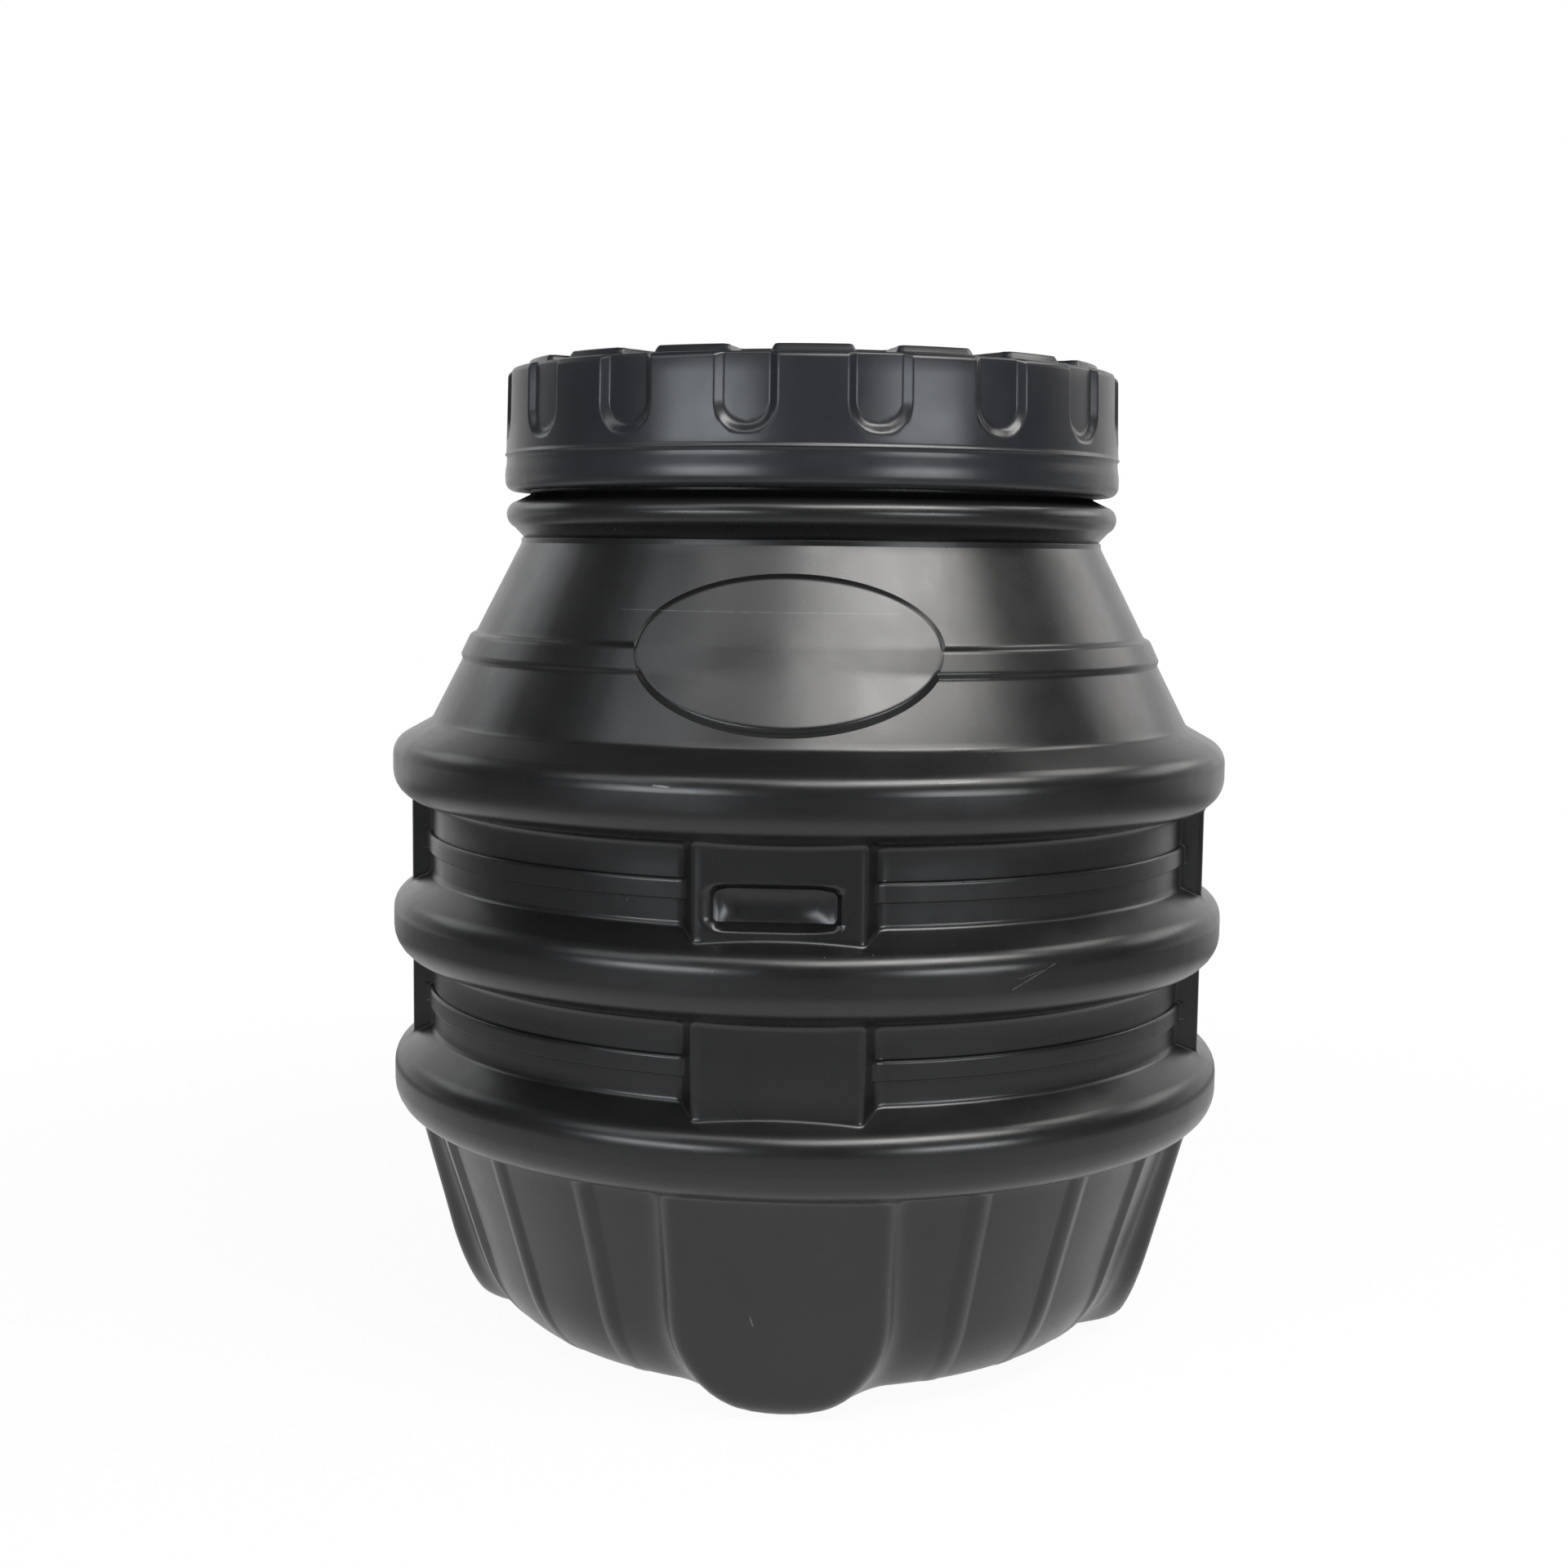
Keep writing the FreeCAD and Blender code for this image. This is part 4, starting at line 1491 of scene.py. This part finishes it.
@dataclass(frozen=True)
class SatinPlastic:
    """Satin black moulded plastic with uneven gloss, fine grain, drawn streaks, dust, scratches and
    painted glints.
    """

    name: str
    dark: Colour = (0.0046, 0.0047, 0.005, 1.0)
    light: Colour = (0.0074, 0.0074, 0.0076, 1.0)
    dust: Colour = (0.16, 0.16, 0.155, 1.0)
    smooth: float = 0.26
    matt: float = 0.31
    grain_depth: float = 0.00003
    wave_depth: float = 0.0005
    streak_share: float = 0.35
    scratches_and_glints: tuple[ScratchOrGlint, ...] = ()
    cloud_scale: float = 11.0
    gloss_scale: float = 38.0
    wave_scale: float = 13.0
    grain_scale: float = 1300.0
    grain_strength: float = 0.3
    streak_stretch: tuple[float, float, float] = (9.0, 9.0, 900.0)
    streak_from: Pair = (0.58, 0.72)
    streak_gloss: float = 0.06
    patch_scale: float = 7.0
    patch_from: Pair = (0.5, 0.68)
    speck_scale: float = 95.0
    speck_from: float = 0.96
    speck_radii: Pair = (0.03, 0.07)
    speck_strength: float = 0.55

    def material(self) -> bpy.types.Material:
        """Make the material.

        Returns:
            The finished material.
        """
        made, sheet = blank_material(self.name)
        place = sheet.node("ShaderNodeTexCoord").outputs["Object"]
        cloudy = sheet.noise(place, self.cloud_scale, detail=4.0)
        streaks = self.streaks(sheet, place)
        dust = self.dust_mask(sheet, place)
        colour = sheet.blend(sheet.remap(cloudy, *NOISE_RANGE, 0.0, 1.0), self.dark, self.light)
        colour = sheet.blend(dust, colour, self.dust)
        # Blend in the scratches, and the painted glints that paint highlights.
        for scratch_or_glint in self.scratches_and_glints:
            colour = sheet.blend(scratch_or_glint.mask(sheet, place), colour, scratch_or_glint.tone.value)
        uneven = sheet.noise(place, self.gloss_scale, detail=3.0)
        gloss = sheet.remap(uneven, *NOISE_RANGE, self.smooth, self.matt)
        gloss = sheet.math("ADD", gloss, sheet.math("MULTIPLY", streaks, self.streak_gloss))
        normal = self.relief(sheet, place, streaks)
        inputs = {"Base Color": colour, "Roughness": gloss, "Normal": normal}
        shader = sheet.node("ShaderNodeBsdfPrincipled", inputs)
        sheet.node("ShaderNodeOutputMaterial", {"Surface": shader.outputs[0]})
        return made

    def streaks(self, sheet: NodeSheet, place: Socket) -> Socket:
        """Draw fine level streaks, in patches, as rubbed on when the piece was turned and stacked.

        Args:
            sheet: The sheet that gets the nodes.
            place: The surface's Object coordinates.

        Returns:
            The streaks' mask.
        """
        level = sheet.node("ShaderNodeMapping", {"Vector": place, "Scale": self.streak_stretch}).outputs[0]
        lines = sheet.remap(sheet.noise(level, 1.0, detail=3.0), *self.streak_from, 0.0, 1.0)
        cloudy = sheet.noise(place, self.patch_scale)
        patches = sheet.remap(cloudy, *self.patch_from, 0.0, self.streak_share)
        return sheet.math("MULTIPLY", lines, patches)

    def dust_mask(self, sheet: NodeSheet, place: Socket) -> Socket:
        """Scatter a few pale specks.

        Args:
            sheet: The sheet that gets the nodes.
            place: The surface's Object coordinates.

        Returns:
            The specks' mask.
        """
        cells = sheet.node("ShaderNodeTexVoronoi", {"Vector": place, "Scale": self.speck_scale})
        drawn = sheet.vector("DOT_PRODUCT", cells.outputs["Color"], (1.0, 0.0, 0.0)).outputs["Value"]
        chosen = sheet.math("GREATER_THAN", drawn, self.speck_from)
        speck = sheet.remap(cells.outputs["Distance"], *self.speck_radii, self.speck_strength, 0.0)
        return sheet.math("MULTIPLY", speck, chosen)

    def relief(self, sheet: NodeSheet, place: Socket, streaks: Socket) -> Socket:
        """Raise the moulded wall's slow waves, its grain and the streaks.

        Args:
            sheet: The sheet that gets the nodes.
            place: The surface's Object coordinates.
            streaks: The streaks' mask.

        Returns:
            The bumped normal.
        """
        waves = sheet.noise(place, self.wave_scale, detail=1.0)
        wavy = sheet.bump(waves, 1.0, self.wave_depth)
        grain = sheet.noise(place, self.grain_scale)
        grained = sheet.bump(grain, self.grain_strength, self.grain_depth, wavy)
        return sheet.bump(streaks, self.grain_strength, self.grain_depth, grained, invert=True)


@dataclass(frozen=True)
class SealRubber:
    """Soft matt black rubber with a dusty bloom."""

    name: str
    dark: Colour = (0.012, 0.012, 0.012, 1.0)
    bloom: Colour = (0.035, 0.034, 0.033, 1.0)
    cloud_scale: float = 45.0
    bloom_from: Pair = (0.4, 0.7)
    gloss: Pair = (0.62, 0.8)
    pore_scale: float = 900.0
    pore_strength: float = 0.4
    pore_depth: float = 0.0001

    def material(self) -> bpy.types.Material:
        """Make the material.

        Returns:
            The finished material.
        """
        made, sheet = blank_material(self.name)
        place = sheet.node("ShaderNodeTexCoord").outputs["Object"]
        cloudy = sheet.noise(place, self.cloud_scale, detail=4.0)
        colour = sheet.blend(sheet.remap(cloudy, *self.bloom_from, 0.0, 1.0), self.dark, self.bloom)
        gloss = sheet.remap(cloudy, *NOISE_RANGE, *self.gloss)
        normal = sheet.bump(sheet.noise(place, self.pore_scale), self.pore_strength, self.pore_depth)
        inputs = {"Base Color": colour, "Roughness": gloss, "Normal": normal}
        shader = sheet.node("ShaderNodeBsdfPrincipled", inputs)
        sheet.node("ShaderNodeOutputMaterial", {"Surface": shader.outputs[0]})
        return made


@dataclass(frozen=True)
class SoftBox:
    """A large studio lamp, aimed at the chamber."""

    name: str
    azimuth: float
    elevation: float
    size: Pair
    watts: float
    colour: tuple[float, float, float]
    distance: float = 2.8

    def build(self, target: Vector) -> None:
        """Hang the lamp and aim it.

        Args:
            target: The point that it faces.
        """
        lamp = bpy.data.lights.new(self.name, "AREA")
        lamp.shape = "RECTANGLE"
        lamp.size, lamp.size_y = self.size
        lamp.energy = self.watts
        lamp.color = self.colour
        holder = placed_object(self.name, lamp)
        around, up = math.radians(self.azimuth), math.radians(self.elevation)
        way = Vector((math.sin(around) * math.cos(up), -math.cos(around) * math.cos(up), math.sin(up)))
        holder.location = target + way * self.distance
        holder.rotation_euler = (target - holder.location).to_track_quat("-Z", "Y").to_euler()


@dataclass
class Studio:
    """The plain pale floor, the white surround and the lamps."""

    floor_radius: float = 30.0
    floor_sides: int = 96
    floor_colour: Colour = (0.86, 0.86, 0.86, 1.0)
    floor_white: float = 0.95
    pool_white: float = 0.75
    pool: Pair = (0.7, 1.3)
    pool_light: Pair = (1.0, 0.15)
    behind: Pair = (0.7, 2.2)
    back_light: float = 0.95
    front_light: float = 0.12
    ambient: float = 0.1
    back_span: Pair = (0.22, 0.85)
    sky_span: Pair = (0.35, 0.7)
    sky_light: float = 0.12
    lamps: tuple[SoftBox, ...] = (
        SoftBox("key_lamp", 38.0, 52.0, (2.8, 0.75), 48.0, (1.0, 0.985, 0.96)),
        SoftBox("core_lamp", 43.0, 52.0, (1.3, 0.75), 22.0, (1.0, 0.985, 0.96)),
        SoftBox("top_lamp", -12.0, 54.0, (2.2, 0.75), 15.0, (1.0, 1.0, 1.0)),
        SoftBox("right_lamp", 112.0, 50.0, (1.1, 0.8), 12.0, (1.0, 0.98, 0.95)),
        SoftBox("left_lamp", -50.0, 37.0, (1.2, 1.0), 8.0, (0.93, 0.97, 1.0)),
        SoftBox("low_left_lamp", -33.0, 8.0, (1.5, 0.5), 24.0, (0.9, 0.95, 1.0)),
        SoftBox("low_right_lamp", 42.0, 8.0, (1.3, 0.5), 22.0, (0.92, 0.96, 1.0)),
        SoftBox("back_left_lamp", -118.0, 27.0, (1.1, 0.8), 3.0, (0.95, 0.98, 1.0)),
        SoftBox("back_right_lamp", 120.0, 24.0, (1.4, 0.7), 6.0, (1.0, 0.98, 0.96)),
    )

    def looks(self, sheet: NodeSheet) -> tuple[Socket, Socket]:
        """Tell the camera's own looks, and those by way of a mirroring or clear surface, from other light.

        Args:
            sheet: The sheet that gets the nodes.

        Returns:
            A mask of the camera's looks and a mask of the mirrored ones.
        """
        path = sheet.node("ShaderNodeLightPath").outputs
        mirrored = sheet.math("MAXIMUM", path["Is Glossy Ray"], path["Is Transmission Ray"])
        return path["Is Camera Ray"], mirrored

    def floor(self) -> None:
        """Lay the floor, which looks white to the camera and keeps the object's shadow, and which glows to
        reflections as a painted pool of light round the object, brighter behind it.
        """
        disc = bmesh.new()
        bmesh.ops.create_circle(disc, cap_ends=True, segments=self.floor_sides, radius=self.floor_radius)
        data = bpy.data.meshes.new("floor")
        disc.to_mesh(data)
        disc.free()
        floor = placed_object("floor", data)
        paint, sheet = blank_material("floor_paint")
        seen, mirrored = self.looks(sheet)
        place = sheet.node("ShaderNodeTexCoord").outputs["Object"]
        away = sheet.vector("LENGTH", place).outputs["Value"]
        depth = sheet.node("ShaderNodeSeparateXYZ", {"Vector": place}).outputs["Y"]
        # Painted light: reflections see the floor glow, as a pool round the object and brighter behind it.
        behind = sheet.remap(depth, *self.behind, 0.0, self.back_light)
        lit = sheet.math("MAXIMUM", behind, sheet.remap(away, *self.pool, *self.pool_light))
        lit = sheet.math("MAXIMUM", seen, lit)
        matt = sheet.node("ShaderNodeBsdfDiffuse", {"Color": self.floor_colour})
        white = sheet.node("ShaderNodeEmission", {"Color": WHITE, "Strength": lit})
        share = sheet.math("MULTIPLY", seen, sheet.remap(away, *self.pool, self.floor_white, 1.0))
        share = sheet.math("MAXIMUM", share, sheet.math("MULTIPLY", mirrored, self.pool_white))
        mixed = sheet.node("ShaderNodeMixShader", {0: share, 1: matt.outputs[0], 2: white.outputs[0]})
        sheet.node("ShaderNodeOutputMaterial", {"Surface": mixed.outputs[0]})
        data.materials.append(paint)
        floor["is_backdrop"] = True

    def surround(self) -> None:
        """Make the world white to the camera, and to mirroring surfaces bright behind and dim in front."""
        world = bpy.data.worlds.new("studio")
        bpy.context.scene.world = world
        world.use_nodes = True
        sheet = NodeSheet(world.node_tree)
        seen, mirrored = self.looks(sheet)
        way = sheet.node("ShaderNodeTexCoord").outputs["Generated"]
        parts = sheet.node("ShaderNodeSeparateXYZ", {"Vector": way}).outputs
        level = sheet.remap(parts["Y"], *self.back_span, self.front_light, self.back_light)
        level = sheet.math("MULTIPLY", level, sheet.remap(parts["Z"], *self.sky_span, 1.0, self.sky_light))
        reflected = sheet.math("MULTIPLY", mirrored, level)
        strength = sheet.math("MAXIMUM", seen, sheet.math("MAXIMUM", reflected, self.ambient))
        glow = sheet.node("ShaderNodeBackground", {"Color": WHITE, "Strength": strength})
        sheet.node("ShaderNodeOutputWorld", {"Surface": glow.outputs[0]})

    def build(self, target: Vector) -> None:
        """Set up the floor, the surround and the lamps.

        Args:
            target: The point that the lamps face.
        """
        self.floor()
        self.surround()
        for lamp in self.lamps:
            lamp.build(target)
        bpy.context.scene.view_settings.view_transform = "Standard"


@dataclass
class PhotoCamera:
    """A camera at the photograph's place and angle."""

    focal_pixels: float = 2700.0
    distance: float = 1746.0
    height: float = 611.0
    pitch: float = 6.11
    roll: float = 0.65
    offset_pixels: float = 29.3
    azimuth: float = 3.4
    sensor: float = 36.0

    def build(self) -> bpy.types.Object:
        """Place the camera and make it the scene's.

        Returns:
            The camera object.
        """
        data = bpy.data.cameras.new("photo_camera")
        data.sensor_width = self.sensor
        data.lens = self.focal_pixels * self.sensor / PHOTO_PIXELS
        data.dof.use_dof = False
        camera = placed_object("photo_camera", data)
        around = math.radians(self.azimuth)
        yaw = math.atan2(self.offset_pixels, self.focal_pixels)
        way = Vector((math.sin(around), -math.cos(around), 0.0))
        place = (way * self.distance + Vector((0.0, 0.0, self.height))) * MM
        turn = Matrix.Rotation(around + yaw, 3, "Z")
        turn = turn @ Matrix.Rotation(math.radians(QUARTER_TURN - self.pitch), 3, "X")
        turn = turn @ Matrix.Rotation(math.radians(self.roll), 3, "Z")
        camera.matrix_world = Matrix.Translation(place) @ turn.to_4x4()
        bpy.context.scene.camera = camera
        return camera


def main() -> None:
    """Build the pieces, dress them and set up the studio."""
    logging.basicConfig(level=logging.INFO, format="%(name)s: %(message)s")
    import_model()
    solid_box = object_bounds()
    PhotoCamera().build()
    body_black = SatinPlastic("chamber_black", scratches_and_glints=CHAMBER_SCRATCHES_AND_GLINTS).material()
    # The lid's tones are lighter and bluer than the chamber's: a painted sheen that stands for the bluish
    # reflections brightening the lid.
    lid_black_and_sheen = SatinPlastic(
        "lid_black_and_sheen", dark=(0.0095, 0.0103, 0.0125, 1.0), light=(0.0135, 0.0143, 0.017, 1.0),
        smooth=0.27, matt=0.33, streak_share=0.7,
    ).material()
    dressed = (
        (ChamberShell("chamber_shell", "chamber", "chamber_body", "body_plastic"), body_black),
        (FrontPlaque("front_plaque", "chamber", "", "body_plastic"), body_black),
        (ScrewLid("lid_shell", "lid", "screw_lid", "lid_plastic"), lid_black_and_sheen),
        (LidSeal("seal_ring", "seal", "lid_seal", "seal_rubber"), SealRubber("seal_black").material()),
    )
    for shell, material in dressed:
        piece = shell.build(material)
        LOG.info("%s: %d faces", piece.name, len(piece.data.polygons))
    Studio().build((solid_box[0] + solid_box[1]) / 2.0)


if __name__ == "__main__":
    main()
